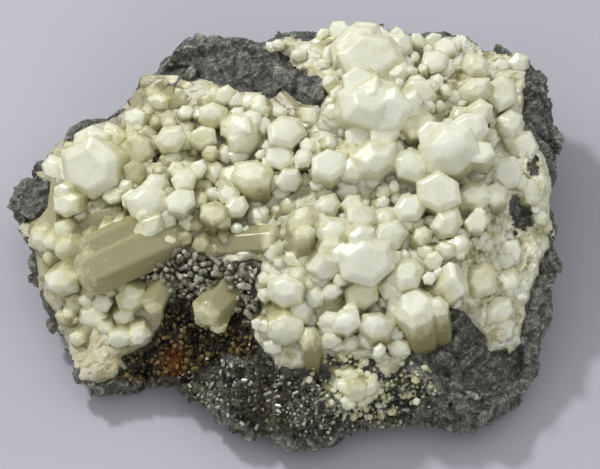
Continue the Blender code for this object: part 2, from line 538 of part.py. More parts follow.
def main():
    for obj in list(bpy.data.objects):
        bpy.data.objects.remove(obj)
    parts = bpy.data.collections.new("plumboan_aragonite_specimen")
    helpers = bpy.data.collections.new("cutters")
    bpy.context.scene.collection.children.link(parts)
    bpy.context.scene.collection.children.link(helpers)

    rock = add_object("matrix_rock", rock_form(), parts)
    break_rock(rock)
    rock_tree = BVHTree.FromObject(rock, bpy.context.evaluated_depsgraph_get())
    rock_cutter = grown_copy(rock, "rock_cutter", fit_gap, helpers)

    aragonite = crust_object(
        "aragonite_crystals", rock, ARAGONITE_OUTLINE, CRUST_THICKNESS, parts, helpers
    )
    field = crystals_object("crystal_field", ARAGONITE_CRYSTALS, rock_tree, helpers)
    boolean(aragonite, "UNION", field)

    pair = crystals_object("hollow_crystal_pair", HOLLOW_PAIR, rock_tree, parts)

    front = crust_object(
        "front_crystal_cluster", rock, FRONT_CLUSTER_OUTLINE, FRONT_PATCH_THICKNESS, parts, helpers
    )
    lumps = crystals_object("front_lumps", FRONT_CLUSTER, rock_tree, helpers)
    boolean(front, "UNION", lumps)

    near_druses = LEFT_END + LOWER_LEFT + UPPER_LEFT + CENTRE + HOLLOW_PAIR
    room = crystals_object("room_for_crystals", near_druses, rock_tree, helpers, grow=FIT_GAP)
    druses = []
    for name, outline, thickness in (
        ("grey_druse", GREY_DRUSE_OUTLINE, GREY_DRUSE_THICKNESS),
        ("rusty_druse", RUSTY_DRUSE_OUTLINE, RUSTY_DRUSE_THICKNESS),
    ):
        grains = crystals_object(name + "_grains", grains_in(outline, GRAINS), rock_tree, helpers)
        druse = crust_object(name, rock, outline, thickness, parts, helpers, grains)
        boolean(druse, "DIFFERENCE", room)
        druses.append(druse)

    for grown_on_rock in (aragonite, pair, front, *druses):
        boolean(grown_on_rock, "DIFFERENCE", rock_cutter)
        drop_chips(grown_on_rock)

    for helper in helpers.objects:
        helper.hide_render = True
        helper.display_type = "WIRE"

    finish_colour(rock, (0.075, 0.078, 0.075), 0.8)
    for cream in (aragonite, pair, front):
        finish_colour(cream, (0.72, 0.70, 0.60), 0.35)
    finish_colour(druses[0], (0.32, 0.30, 0.27), 0.3)
    finish_colour(druses[1], (0.20, 0.12, 0.05), 0.5)


main()
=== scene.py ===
"""The looks of the plumboan aragonite specimen: cream crystals and two druses on dark rock.

Places and sizes are in millimetres until a mesh is made, which is in metres. The crystal face is
described as it is seen square on, from FACE_ELEVATION above the horizon in front of the rock. A place
on it is (across, up) from the line of sight through the origin, and out is towards the viewer.
"""

import math
import random
from collections import namedtuple

import bmesh
import bpy
import numpy as np
from mathutils import Matrix, Vector, noise
from mathutils.bvhtree import BVHTree


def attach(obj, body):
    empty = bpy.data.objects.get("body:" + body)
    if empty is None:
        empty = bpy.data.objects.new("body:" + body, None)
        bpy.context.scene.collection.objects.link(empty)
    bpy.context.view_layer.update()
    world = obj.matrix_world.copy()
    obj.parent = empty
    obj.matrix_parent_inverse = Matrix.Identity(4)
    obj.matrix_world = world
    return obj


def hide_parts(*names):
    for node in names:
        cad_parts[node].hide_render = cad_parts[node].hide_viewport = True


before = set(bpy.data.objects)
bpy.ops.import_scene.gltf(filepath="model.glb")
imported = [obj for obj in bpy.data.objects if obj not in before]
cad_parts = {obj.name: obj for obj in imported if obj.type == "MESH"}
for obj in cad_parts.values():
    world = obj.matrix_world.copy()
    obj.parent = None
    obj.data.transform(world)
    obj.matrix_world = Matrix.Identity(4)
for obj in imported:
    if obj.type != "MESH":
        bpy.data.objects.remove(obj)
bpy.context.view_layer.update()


# The rock
# A loose piece of fine-grained dark grey rock, broken on all sides. Flat fractures and small ledges
# catch the light, thin white veins cross it, and tiny ore grains glitter. It is the CAD rock at a
# finer grain, and everything else has grown on it.

MM = 0.001
FACE_ELEVATION = 55.0
TILT = math.radians(FACE_ELEVATION)
ACROSS = Vector((1, 0, 0))
UP = Vector((0, math.sin(TILT), math.cos(TILT)))
OUT = Vector((0, -math.cos(TILT), math.sin(TILT)))
SIGHT_REACH = 150.0

# The break: sizes and heights in millimetres, tilts as slopes.
ROCK_MESH_SIZE = 0.8
LEDGE_SIZE, LEDGE_HEIGHT = 7.0, 0.7
FACET_SIZE, FACET_TILT = 9.0, 0.3
CHIP_SIZE, CHIP_TILT = 3.6, 0.3
SMALL_CHIP_SIZE, SMALL_CHIP_TILT = 1.7, 0.14
ROUGHNESS_SIZE, ROUGHNESS_HEIGHT = 2.0, 0.10
FACETS_APART = Vector((20, 20, 20))
SMALL_CHIPS_APART = Vector((50, 50, 50))
MOST_RELIEF = 2.2
RELIEF_UNDER_CRUST = 0.3
COVERED_FACING = 0.15
SMOOTH_ABOVE_REST = 0.3

# The stone's patterns, in millimetres. Its real grains are about 0.1 mm, too fine to show in the
# render, so they are drawn three times as coarse.
STONE_PATCH = 8.33
STONE_GRAIN = 0.3125
PALE_MINERAL = 1.11
VEIN_SPACING = 16.7
MINERAL_RELIEF = 0.9
GRAIN_RELIEF = 0.25

# Each brown stain: its middle (across, up), how far it is full, and where it ends.
STAINS = ((-27, -22, 4.0, 18.0), (-58, -3, 3.0, 13.0), (-4, -31, 3.0, 13.0))
STAIN_STRENGTH = 0.55


def srgb(code, alpha=1.0):
    """A colour as the renderer takes it, from its sRGB hex code."""
    channels = [int(code[i : i + 2], 16) / 255 for i in (0, 2, 4)]
    linear = [c / 12.92 if c <= 0.04045 else ((c + 0.055) / 1.055) ** 2.4 for c in channels]
    return (*linear, alpha)


def add_node(tree, kind, output, inputs=None, stops=None, **settings):
    """Adds a shader node and returns an output. An input is a value or the output that feeds it.
    A colour Mix blends its inputs 6 and 7 into its output 2."""
    made = tree.nodes.new("ShaderNode" + kind)
    for name, value in settings.items():
        setattr(made, name, value)
    for key, value in (inputs or {}).items():
        if isinstance(value, bpy.types.NodeSocket):
            tree.links.new(value, made.inputs[key])
        else:
            made.inputs[key].default_value = value
    if stops:
        ramp = made.color_ramp.elements
        while len(ramp) < len(stops):
            ramp.new(1.0)
        for element, (place, code) in zip(ramp, stops):
            element.position = place
            element.color = srgb(code)
    return made.outputs[output]


def new_material(name, finish):
    """A material, its node tree and its surface shader, with what is the same all over it."""
    material = bpy.data.materials.new(name)
    material.use_nodes = True
    tree = material.node_tree
    shader = tree.nodes["Principled BSDF"]
    for socket, value in finish.items():
        shader.inputs[socket].default_value = value
    return material, tree, shader


def place_in_mm(tree):
    """The point being shaded, in millimetres."""
    place = add_node(tree, "TexCoord", "Object")
    return add_node(tree, "VectorMath", 0, {0: place, "Scale": 1 / MM}, operation="SCALE")


def nearness(tree, place, centre, reach, fade):
    """1 within reach of a centre and 0 beyond fade, in millimetres."""
    away = add_node(tree, "VectorMath", "Value", {0: place, 1: centre}, operation="DISTANCE")
    limits = {"Value": away, "From Min": reach, "From Max": fade, "To Min": 1.0, "To Max": 0.0}
    return add_node(tree, "MapRange", "Result", limits, interpolation_type="SMOOTHSTEP")


rock_tree = BVHTree.FromObject(
    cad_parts["matrix_rock"], bpy.context.evaluated_depsgraph_get()
)


def ray_to_rock(across, up, tree):
    """Where the line of sight at a place on the crystal face meets the rock, and its normal there."""
    start = ACROSS * across + UP * up + OUT * SIGHT_REACH
    place, normal, _, _ = tree.ray_cast(start * MM, -OUT)
    return (place / MM, normal) if place is not None else (None, None)


def tilted_chips(place, size):
    """Height of flat chips of about the given size, each tilted its own way."""
    chip = noise.voronoi(place / size)[1][0] * size
    tilt = noise.cell_vector(chip * 3.0) * 2 - Vector((1, 1, 1))
    return tilt.dot(place - chip)


def rock_relief(place):
    """How far the fresh break stands out at a place, in millimetres."""
    near, next_near = noise.voronoi(place / LEDGE_SIZE)[0][:2]
    ledge = LEDGE_HEIGHT * (min(next_near - near, 0.5) - 0.25) * 2
    facets = FACET_TILT * tilted_chips(place + FACETS_APART, FACET_SIZE)
    chips = CHIP_TILT * tilted_chips(place, CHIP_SIZE)
    small_chips = SMALL_CHIP_TILT * tilted_chips(place + SMALL_CHIPS_APART, SMALL_CHIP_SIZE)
    rough = ROUGHNESS_HEIGHT * noise.fractal(place / ROUGHNESS_SIZE, 0.9, 2.1, 2)
    return max(-MOST_RELIEF, min(MOST_RELIEF, ledge + facets + chips + small_chips + rough))


def link_piece(name, mesh, material):
    """Puts a mesh in the scene as a piece of the specimen."""
    piece = bpy.data.objects.new(name, mesh)
    bpy.context.scene.collection.objects.link(piece)
    mesh.materials.clear()
    mesh.materials.append(material)
    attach(piece, "root")
    return piece


# The outlines of what has grown on the rock, as (across, up).
ARAGONITE_OUTLINE = [
    (-60, 28.5), (-56, 33), (-49.5, 34.5), (-44.5, 37), (-41.5, 40), (-38.5, 43), (-36, 48),
    (-33, 49.5), (-21, 48), (-11, 46.5), (1.5, 43), (8.5, 40.5), (10.5, 44), (9.5, 48), (4, 52.5),
    (-1, 55.5), (-6.5, 58), (-7.5, 62), (-3, 66), (19, 74), (40, 70), (60, 62), (61.5, 50),
    (60.5, 40.5), (61.5, 33), (65.5, 30.5), (67.5, 26.5), (66.8, 17), (67.5, 10), (64, 2.5), (61.5, -2),
    (60, -9.5), (58.5, -17), (54, -20), (51, -19.5), (49.5, -16), (46.5, -12.5), (44.5, -10),
    (39, -8.2), (36.5, -11.5), (34, -16), (31.5, -19.5), (27.8, -25), (25.2, -25.6), (21.5, -21.8),
    (16.5, -21.2), (11.5, -20), (7, -20), (4, -22.5), (-2.2, -22.5), (-5.5, -18.2), (-8, -13.2),
    (-5.5, -7), (-7.2, -3.2), (-5.5, 2.5), (-11, 2.5), (-17.2, 3), (-22.2, 5.5), (-26, 6.8),
    (-29.8, 3.5), (-33.5, 2.5), (-36, -0.8), (-39, -5), (-34.8, -7), (-29.8, -7), (-30.2, -11.5),
    (-33.5, -18.2), (-37.2, -20), (-40.5, -21), (-39, -23.5), (-42.2, -25.8), (-47.2, -27),
    (-51, -26.5), (-53.5, -19.5), (-54.5, -15.8), (-58, -10.8), (-59.5, -7), (-61, -2), (-62.5, 4),
    (-66.5, 4.5), (-67.5, 9), (-64.8, 12.5), (-58.5, 13), (-57.2, 18), (-59, 21.8), (-62.2, 25.5),
]
GREY_DRUSE_OUTLINE = [
    (-35.4, -1), (-33, 1.9), (-29.6, 3), (-26, 6.2), (-22.2, 5), (-17.2, 2.5), (-11, 2), (-6, 2),
    (-7.7, -3.2), (-6, -7), (-8, -11.5), (-11, -10), (-15.5, -7), (-21, -6), (-27.2, -6.7),
    (-34.8, -6.5), (-38.5, -5),
]
RUSTY_DRUSE_OUTLINE = [
    (-29.3, -7.5), (-21, -7), (-15.5, -8), (-11.5, -11), (-8.3, -13.2), (-6, -18.2), (-8.5, -21.5),
    (-14.8, -19.5), (-21, -24), (-26, -26.5), (-31, -27), (-37.2, -26.5), (-41.5, -26.5),
    (-41.5, -25.8), (-38.5, -23.5), (-39.8, -21), (-36.8, -20), (-33.2, -18.7), (-29.7, -11.5),
]
FRONT_CLUSTER_OUTLINE = [
    (13, -23.5), (16.5, -22.7), (20.5, -23.8), (25.5, -27.5), (22.5, -31), (18, -34), (13.5, -34),
    (11.8, -29),
]


def depth_inside(points, outline):
    """How far each point lies inside an outline, in millimetres, and less than 0 outside it."""
    starts = np.array(outline)
    ends = np.roll(starts, -1, axis=0)
    sides = ends - starts
    offsets = points[:, None, :] - starts[None, :, :]
    along = (offsets * sides).sum(axis=2) / (sides**2).sum(axis=1)
    nearest = offsets - np.clip(along, 0, 1)[:, :, None] * sides
    away = np.sqrt((nearest**2).sum(axis=2).min(axis=1))
    straddles = (starts[None, :, 1] > points[:, 1:]) != (ends[None, :, 1] > points[:, 1:])
    rise = np.where(sides[:, 1] == 0, 1e-9, sides[:, 1])
    meets = starts[:, 0] + (points[:, 1:] - starts[:, 1]) * sides[:, 0] / rise
    crossings = (straddles & (points[:, :1] < meets)).sum(axis=1)
    return np.where(crossings % 2 == 1, away, -away)


def under_crust(mesh, normals):
    """For each point of the rock, whether a crust or a druse covers it."""
    places = np.array([(v.co.x, v.co.dot(UP)) for v in mesh.vertices]) / MM
    facing = np.array([normal.dot(OUT) > COVERED_FACING for normal in normals])
    outlines = (ARAGONITE_OUTLINE, GREY_DRUSE_OUTLINE, RUSTY_DRUSE_OUTLINE, FRONT_CLUSTER_OUTLINE)
    return facing & np.any([depth_inside(places, outline) > 0 for outline in outlines], axis=0)


def refined_rock(material):
    """The CAD rock on a finer mesh, with its break roughened. The resting face stays flat."""
    rock = link_piece("rock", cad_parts["matrix_rock"].data.copy(), material)
    finer = rock.modifiers.new("finer", "REMESH")
    finer.mode = "VOXEL"
    finer.voxel_size = ROCK_MESH_SIZE * MM
    graph = bpy.context.evaluated_depsgraph_get()
    mesh = bpy.data.meshes.new_from_object(rock.evaluated_get(graph), depsgraph=graph)
    rock.modifiers.clear()
    rock.data = mesh
    normals = [vert.normal.copy() for vert in mesh.vertices]
    covered = under_crust(mesh, normals)
    for vert, normal, hidden in zip(mesh.vertices, normals, covered):
        place = vert.co / MM
        clear_of_rest = min(1.0, max(0.0, place.z - SMOOTH_ABOVE_REST))
        share = RELIEF_UNDER_CRUST if hidden else 1.0
        vert.co = (place + normal * rock_relief(place) * clear_of_rest * share) * MM
        vert.co.z = max(0.0, vert.co.z)
    mesh.shade_flat()
    return rock


def rock_material():
    """Dark fine-grained rock, freshly broken: matt and patchy, flecked with pale minerals, with a
    painted highlight on its sharp edges and painted shade in its creases, thin white veins, brown
    stains and glinting grains of ore."""
    material, tree, shader = new_material("dark_grey_rock", {})
    place = place_in_mm(tree)
    patches = add_node(
        tree, "TexNoise", "Fac",
        {"Vector": place, "Scale": 1 / STONE_PATCH, "Detail": 12.0, "Roughness": 0.8},
    )
    stone = add_node(
        tree, "ValToRGB", "Color", {"Fac": patches},
        stops=[(0.34, "34362f"), (0.46, "5b5d55"), (0.56, "8b8d85"), (0.68, "b2b3ab")],
    )
    grains = add_node(tree, "TexVoronoi", "Color", {"Vector": place, "Scale": 1 / STONE_GRAIN})
    red = add_node(tree, "SeparateColor", "Red", {"Color": grains})
    green, blue = red.node.outputs["Green"], red.node.outputs["Blue"]
    pale = add_node(
        tree, "ValToRGB", "Color", {"Fac": red},
        stops=[(0.0, "3a3a38"), (0.5, "808080"), (1.0, "d8d8d2")],
    )
    grained = add_node(
        tree, "Mix", 2, {"Factor": 0.75, 6: stone, 7: pale}, data_type="RGBA", blend_type="OVERLAY"
    )
    minerals = add_node(
        tree, "TexNoise", "Fac",
        {"Vector": place, "Scale": 1 / PALE_MINERAL, "Detail": 6.0, "Roughness": 0.75},
    )
    mineral = add_node(
        tree, "ValToRGB", "Color", {"Fac": minerals},
        stops=[(0.40, "000000"), (0.52, "606060"), (0.64, "ffffff")],
    )
    flecked = add_node(
        tree, "Mix", 2, {"Factor": mineral, 6: grained, 7: srgb("b4b5aa")}, data_type="RGBA"
    )
    veins = add_node(
        tree, "TexNoise", "Fac",
        {"Vector": place, "Scale": 1 / VEIN_SPACING, "Detail": 3.0, "Distortion": 1.2},
    )
    vein = add_node(
        tree, "ValToRGB", "Color", {"Fac": veins},
        stops=[(0.497, "000000"), (0.5, "808080"), (0.503, "000000")],
    )
    veined = add_node(tree, "Mix", 2, {"Factor": vein, 6: flecked, 7: srgb("c9c9bf")}, data_type="RGBA")
    # Painted shade in the creases and a painted highlight on the sharp edges, read from pointiness and
    # overlaid on the stone.
    sharp = add_node(tree, "NewGeometry", "Pointiness")
    edge_light_crease_shade = add_node(
        tree, "ValToRGB", "Color", {"Fac": sharp},
        stops=[(0.42, "3c3c3a"), (0.5, "808080"), (0.58, "d8d8d4")],
    )
    edge_lit_crease_shaded = add_node(
        tree, "Mix", 2, {"Factor": 0.75, 6: veined, 7: edge_light_crease_shade}, data_type="RGBA", blend_type="OVERLAY"
    )
    stain = 0.0
    for across, up, reach, fade in STAINS:
        centre, _ = ray_to_rock(across, up, rock_tree)
        near = nearness(tree, place, centre, reach, fade)
        stain = add_node(tree, "Math", 0, {0: near, 1: stain}, operation="MAXIMUM")
    share = add_node(tree, "Math", 0, {0: stain, 1: STAIN_STRENGTH}, operation="MULTIPLY")
    stained = add_node(tree, "Mix", 2, {"Factor": share, 6: edge_lit_crease_shaded, 7: srgb("4a3d24")}, data_type="RGBA")
    tree.links.new(stained, shader.inputs["Base Color"])
    ore = add_node(
        tree, "ValToRGB", "Color", {"Fac": green}, stops=[(0.93, "000000"), (0.95, "ffffff")]
    )
    rough = add_node(tree, "MapRange", "Result", {"Value": ore, "To Min": 0.6, "To Max": 0.22})
    tree.links.new(rough, shader.inputs["Roughness"])
    metal = add_node(tree, "Math", 0, {0: ore, 1: 0.85}, operation="MULTIPLY")
    tree.links.new(metal, shader.inputs["Metallic"])
    relief = add_node(
        tree, "Bump", "Normal", {"Height": minerals, "Strength": 1.0, "Distance": MINERAL_RELIEF * MM}
    )
    grainy = add_node(
        tree, "Bump", "Normal",
        {"Height": blue, "Strength": 0.6, "Distance": GRAIN_RELIEF * MM, "Normal": relief},
    )
    tree.links.new(grainy, shader.inputs["Normal"])
    return material


rock = refined_rock(rock_material())
rough_rock_tree = BVHTree.FromObject(rock, bpy.context.evaluated_depsgraph_get())
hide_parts("matrix_rock")


# The aragonite crust
# A skin of small cream crystals, 2 to 3 mm thick, grown straight onto the rock. It fills the room
# between the larger crystals. Towards the right it is massive, blocky and whiter, with grey rock
# showing through.

CRUST_THICKNESS = 2.6
CRUST_STEP = 0.6
CRUST_RAMP = 1.6
SINK_SLOPE, SINK_REACH = 0.8, 2.0
CRUST_MARGIN = 1.6
CRUST_RAG, CRUST_RAG_SIZE = 1.5, 3.0
CRUST_CHIP_SIZE, CRUST_CHIP_TILT = 2.4, 0.75
CRUST_LUMP_SIZE, CRUST_LUMP_HEIGHT = 6.0, 1.3
THINNEST_CRUST = 0.5
STEEPEST_CRUSTED = 0.3
MASSIVE_START, MASSIVE_OVER = 34.0, 12.0

# Each bare spot in the crust: its middle (across, up), half its width and half its height.
BARE_SPOTS = (
    (59.4, 15.0, 2.9, 4.6), (62.5, 26.0, 1.6, 2.6), (49.0, -21.0, 2.0, 3.5), (56.0, 33.0, 1.4, 1.4),
)
BARE_SPOT_RAG, BARE_SPOT_RAG_SIZE = 0.5, 2.0
BARE_SPOT_DEPTH = -1.0

GLOW_COLOURS = (1.0, 0.96, 0.80)
CRUST_GLOW = 1.2
CRUST_PATCH = 5.0
DARK_SPECK = 1.82
SPECK_RELIEF = 0.4
BROWN_FROM, BROWN_TO = -8.0, -40.0


def face_grid(outline, step, margin=2.0):
    """Places (across, up) in rows over an outline, and how many there are in a row."""
    low = np.min(outline, axis=0) - margin
    high = np.max(outline, axis=0) + margin
    columns = np.arange(low[0], high[0], step)
    rows = np.arange(low[1], high[1], step)
    across, up = np.meshgrid(columns, rows)
    return np.stack([across.ravel(), up.ravel()], axis=1), len(columns)


def sheet_over_rock(outline, step, height_at):
    """An open mesh over the rock inside an outline, as high as height_at(place, normal, depth)."""
    places, row_length = face_grid(outline, step)
    depths = depth_inside(places, outline)
    bm = bmesh.new()
    grid = {}
    for index, ((across, up), depth) in enumerate(zip(places, depths)):
        if depth < -CRUST_MARGIN:
            continue
        place, normal = ray_to_rock(across, up, rock_tree)
        if place is None or normal.dot(OUT) < STEEPEST_CRUSTED:
            continue
        ragged = depth + CRUST_RAG * noise.noise(place / CRUST_RAG_SIZE)
        grid[index] = bm.verts.new((place + OUT * height_at(place, normal, ragged)) * MM)
    for index, corner in grid.items():
        others = [grid.get(index + i) for i in (1, row_length + 1, row_length)]
        if all(others):
            bm.faces.new([corner, *others])
    mesh = bpy.data.meshes.new("sheet")
    bm.to_mesh(mesh)
    bm.free()
    return mesh


def edge_ramp(depth, ramp):
    """The share of a crust's height at a depth inside its outline. Below 0 it sinks into the rock."""
    return 1 - math.exp(-depth / ramp) if depth > 0 else max(depth, -SINK_REACH) * SINK_SLOPE


def in_bare_spot(place):
    """Whether a place on the rock is in a spot where no crust grew."""
    across, up = place.x, place.dot(UP)
    ragged = 1 + BARE_SPOT_RAG * noise.noise(place / BARE_SPOT_RAG_SIZE)
    return any(math.hypot((across - a) / w, (up - u) / h) < ragged for a, u, w, h in BARE_SPOTS)


def crust_height(place, normal, depth):
    """How far the crust stands off the rock. It is thicker and lumpier where it is massive."""
    if in_bare_spot(place):
        return BARE_SPOT_DEPTH
    facing = max(0.0, min(1.0, normal.dot(OUT) * 2))
    massive = max(0.0, min(1.0, (place.x - MASSIVE_START) / MASSIVE_OVER))
    lumps = CRUST_LUMP_HEIGHT * noise.noise(place / CRUST_LUMP_SIZE) * (1 + massive)
    chips = CRUST_CHIP_TILT * tilted_chips(place, CRUST_CHIP_SIZE) * (0.5 + 0.7 * massive)
    full = CRUST_THICKNESS * (0.75 + 0.35 * massive) + lumps + chips
    return facing * max(THINNEST_CRUST, full) * edge_ramp(depth, CRUST_RAMP)


def crust_material():
    """Massive aragonite, grown in place: cream white, tan in the hollows and browner to the left,
    with grey rock and dark specks showing through."""
    finish = {
        "Subsurface Weight": 0.5, "Subsurface Radius": GLOW_COLOURS,
        "Subsurface Scale": CRUST_GLOW * MM, "Roughness": 0.34,
    }
    material, tree, shader = new_material("massive_aragonite", finish)
    shader.subsurface_method = "BURLEY"
    place = place_in_mm(tree)
    clouds = add_node(
        tree, "TexNoise", "Fac",
        {"Vector": place, "Scale": 1 / CRUST_PATCH, "Detail": 7.0, "Roughness": 0.68},
    )
    cream = add_node(
        tree, "ValToRGB", "Color", {"Fac": clouds},
        stops=[(0.30, "8f8862"), (0.42, "b8b390"), (0.53, "cfcfb8"), (0.66, "dcddd0")],
    )
    across = add_node(tree, "SeparateXYZ", "X", {"Vector": place})
    brown = add_node(
        tree, "MapRange", "Result",
        {"Value": across, "From Min": BROWN_FROM, "From Max": BROWN_TO, "To Max": 0.45},
    )
    browned = add_node(tree, "Mix", 2, {"Factor": brown, 6: cream, 7: srgb("96895f")}, data_type="RGBA")
    specks = add_node(
        tree, "TexNoise", "Fac",
        {"Vector": place, "Scale": 1 / DARK_SPECK, "Detail": 8.0, "Roughness": 0.75},
    )
    speck = add_node(
        tree, "ValToRGB", "Color", {"Fac": specks}, stops=[(0.36, "d8d8d8"), (0.43, "000000")]
    )
    specked = add_node(
        tree, "Mix", 2, {"Factor": speck, 6: browned, 7: srgb("4b4c43")}, data_type="RGBA"
    )
    tree.links.new(specked, shader.inputs["Base Color"])
    bump = add_node(
        tree, "Bump", "Normal", {"Height": specks, "Strength": 0.6, "Distance": SPECK_RELIEF * MM}
    )
    tree.links.new(bump, shader.inputs["Normal"])
    return material


crust_look = crust_material()
crust_mesh = sheet_over_rock(ARAGONITE_OUTLINE, CRUST_STEP, crust_height)
crust_mesh.shade_flat()
crust = link_piece("aragonite_crust", crust_mesh, crust_look)
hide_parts("aragonite_crystals")


# The aragonite crystals
# Stubby six-sided columns 4 to 16 mm across with blunt, bevelled heads, grown out of the crust. Most
# are several parallel crystals grown together, so smaller heads stand a little lower beside the
# main one.

# A crystal's head is at (across, up). Its axis points towards heading, anticlockwise from across, and
# leans away from the line of sight. Spin turns its six sides about its axis. Tan is how brown its
# body is, where it has a tone of its own.
Crystal = namedtuple("Crystal", "across up width length heading lean spin tan", defaults=(None,))

LEFT_END = [
    (-49, 25, 15, 12, 200, 20, 20), (-59, 26, 6.5, 7, 170, 35, 0), (-55.5, 16.5, 7, 9, 200, 35, 30),
    (-55.8, 10, 5, 8, 215, 40, 10, 0.3), (-61, 6.5, 8, 9, 235, 45, 0),
    (-53.5, 3.5, 8, 11, 265, 55, 0, 0.2), (-56.8, -4, 8.5, 9, 230, 35, 15),
    (-40, 14.8, 6, 14, 15, 75, 0, 0.9), (-44, 8, 6.5, 8, 250, 30, 40),
    (-50.5, -1.2, 10.5, 19, 205, 72, 10, 1.0), (-48, -12.2, 6.5, 6, 240, 30, 0),
    (-44.5, -14.5, 4, 6, 260, 30, 25), (-53.2, -11.8, 3.2, 4, 200, 30, 5),
    (-45.2, -8.2, 5, 6, 230, 25, 45), (-50, -7.5, 4, 5, 210, 25, 10),
]
LOWER_LEFT = [
    (-41, -17.2, 5.8, 8, 255, 30, 0, 0.15), (-36, -16.8, 5.5, 7, 280, 30, 30),
    (-39.5, -12.2, 5, 7, 280, 25, 10), (-38.2, -7.8, 7, 8, 250, 25, 20),
    (-33, -10, 5.5, 9, 245, 50, 0, 0.8),
]
UPPER_LEFT = [
    (-34, 17.2, 9.5, 9, 100, 12, 15), (-33.5, 9, 7.8, 10, 268, 38, 30, 0.15),
    (-25.5, 18, 7.5, 9, 80, 20, 5), (-24.8, 23.8, 6.5, 8, 95, 15, 40), (-31.2, 22.2, 6, 7, 60, 20, 0),
    (-36.2, 25, 7, 7, 20, 35, 20, 0.8), (-38.8, 21.2, 3.5, 5, 200, 20, 0),
    (-28.5, 7.2, 3.5, 5, 280, 20, 0), (-28.2, 33.2, 7.8, 9, 90, 8, 30, 0.3),
    (-20.5, 34.2, 6.5, 8, 100, 15, 10, 0.5), (-26, 43.8, 4, 8, 0, 70, 0),
    (-26.5, 47.2, 4.5, 10, 0, 70, 20), (-24.5, 40.5, 4, 6, 90, 20, 30),
    (-33.5, 40.2, 3.5, 6, 300, 30, 0), (-38.2, 35.8, 4.5, 6, 180, 25, 15),
    (-38.5, 39.2, 6, 7, 150, 30, 40), (-44, 35, 6, 9, 150, 30, 10),
    (-37, 30.5, 8, 7, 200, 15, 25, 0.75), (-17.8, 40, 6.5, 8, 90, 15, 0),
]
MIDDLE_TOP = [
    (-9.5, 32.5, 9, 10, 300, 20, 10, 0.55), (-13, 36.8, 8.5, 9, 150, 20, 35),
    (0.5, 36, 9, 9, 95, 15, 20), (-0.8, 29, 6.8, 9, 100, 12, 0), (4.8, 28.8, 5, 8.5, 85, 12, 30),
    (11.2, 27.5, 8.5, 10, 95, 22, 15), (16.2, 31.2, 6, 7, 80, 25, 0, 0.9),
    (11.8, 39.2, 5, 7, 220, 25, 45), (7, 36.2, 3.5, 8, 315, 60, 0), (21.5, 30.2, 4.5, 6, 90, 15, 20),
    (24.8, 31, 5, 7, 75, 20, 0), (-11.8, 39.8, 4.5, 6, 90, 20, 25),
]
GREAT_CRYSTALS = [
    (21.5, 43.5, 16, 13, 90, 15, 10), (25.5, 38.5, 12, 12, 300, 15, 35),
    (16.5, 39.5, 11, 10, 200, 15, 0), (21.5, 54.5, 15, 11, 90, 20, 20),
    (26.5, 52.5, 9, 10, 320, 20, 45), (16, 56.5, 9, 8, 130, 30, 0), (19.5, 60.8, 9, 8, 90, 40, 15),
    (25.5, 60.2, 7, 7, 70, 40, 30), (40.8, 31.5, 13.5, 13, 100, 15, 25),
    (22.8, 26.8, 11.5, 11, 300, 15, 5),
]
CENTRE = [
    (-17.2, 15.2, 6.2, 9, 95, 20, 0, 0.65), (-11.5, 16.5, 5.5, 8, 70, 15, 20),
    (-13.8, 20, 5, 7, 100, 20, 40), (-18.2, 19.8, 3.5, 6, 120, 20, 0),
    (-8.2, 25.5, 10.5, 10, 95, 30, 10, 0.6), (1.5, 22.2, 6.3, 10, 270, 15, 30),
    (-1.2, 8, 6.5, 18, 5, 76, 0, 0.5), (4.5, 14.8, 8.5, 13, 92, 40, 20, 0.7),
    (11, 17, 6.5, 8, 60, 20, 5), (12.2, 11, 8.2, 11, 95, 15, 30, 0.2), (17, 17.2, 5, 7, 80, 20, 15),
    (19.5, 14.2, 7, 7, 90, 15, 0), (25.2, 14.2, 7, 7, 90, 15, 25), (26, 9.2, 8, 7, 90, 15, 40),
    (20.8, 2.8, 12, 12, 320, 12, 0, 0.05), (11.2, 0.5, 8.5, 9, 290, 25, 20),
    (1.5, 3, 3.8, 6, 200, 30, 0), (-0.2, -4, 8.3, 11, 120, 15, 10), (4, 0, 7, 7, 80, 20, 35),
    (6, 5.5, 7, 6, 90, 20, 0), (18.8, -6.2, 8, 7, 260, 25, 15, 0.6), (27, -2.2, 7, 7, 90, 20, 30),
    (14.8, -11.5, 7.3, 10, 100, 12, 20), (10.2, -12.5, 4.5, 7, 180, 25, 0),
    (11.2, -17.2, 5, 6, 270, 25, 30), (22.5, -11.5, 8, 11, 95, 30, 10),
    (22, -16.8, 7.5, 7, 260, 20, 35), (0.2, -15.2, 8.8, 12, 268, 30, 0, 0.25),
    (-5, -13.5, 4, 6, 240, 20, 20), (4.5, -9, 6, 8, 60, 20, 10), (6.2, -15, 6, 8, 95, 35, 0, 0.8),
    (31.8, -7, 11, 12, 100, 35, 15), (30.2, 0.5, 8, 8, 90, 20, 40), (28, -19.5, 5, 5, 260, 25, 10),
]
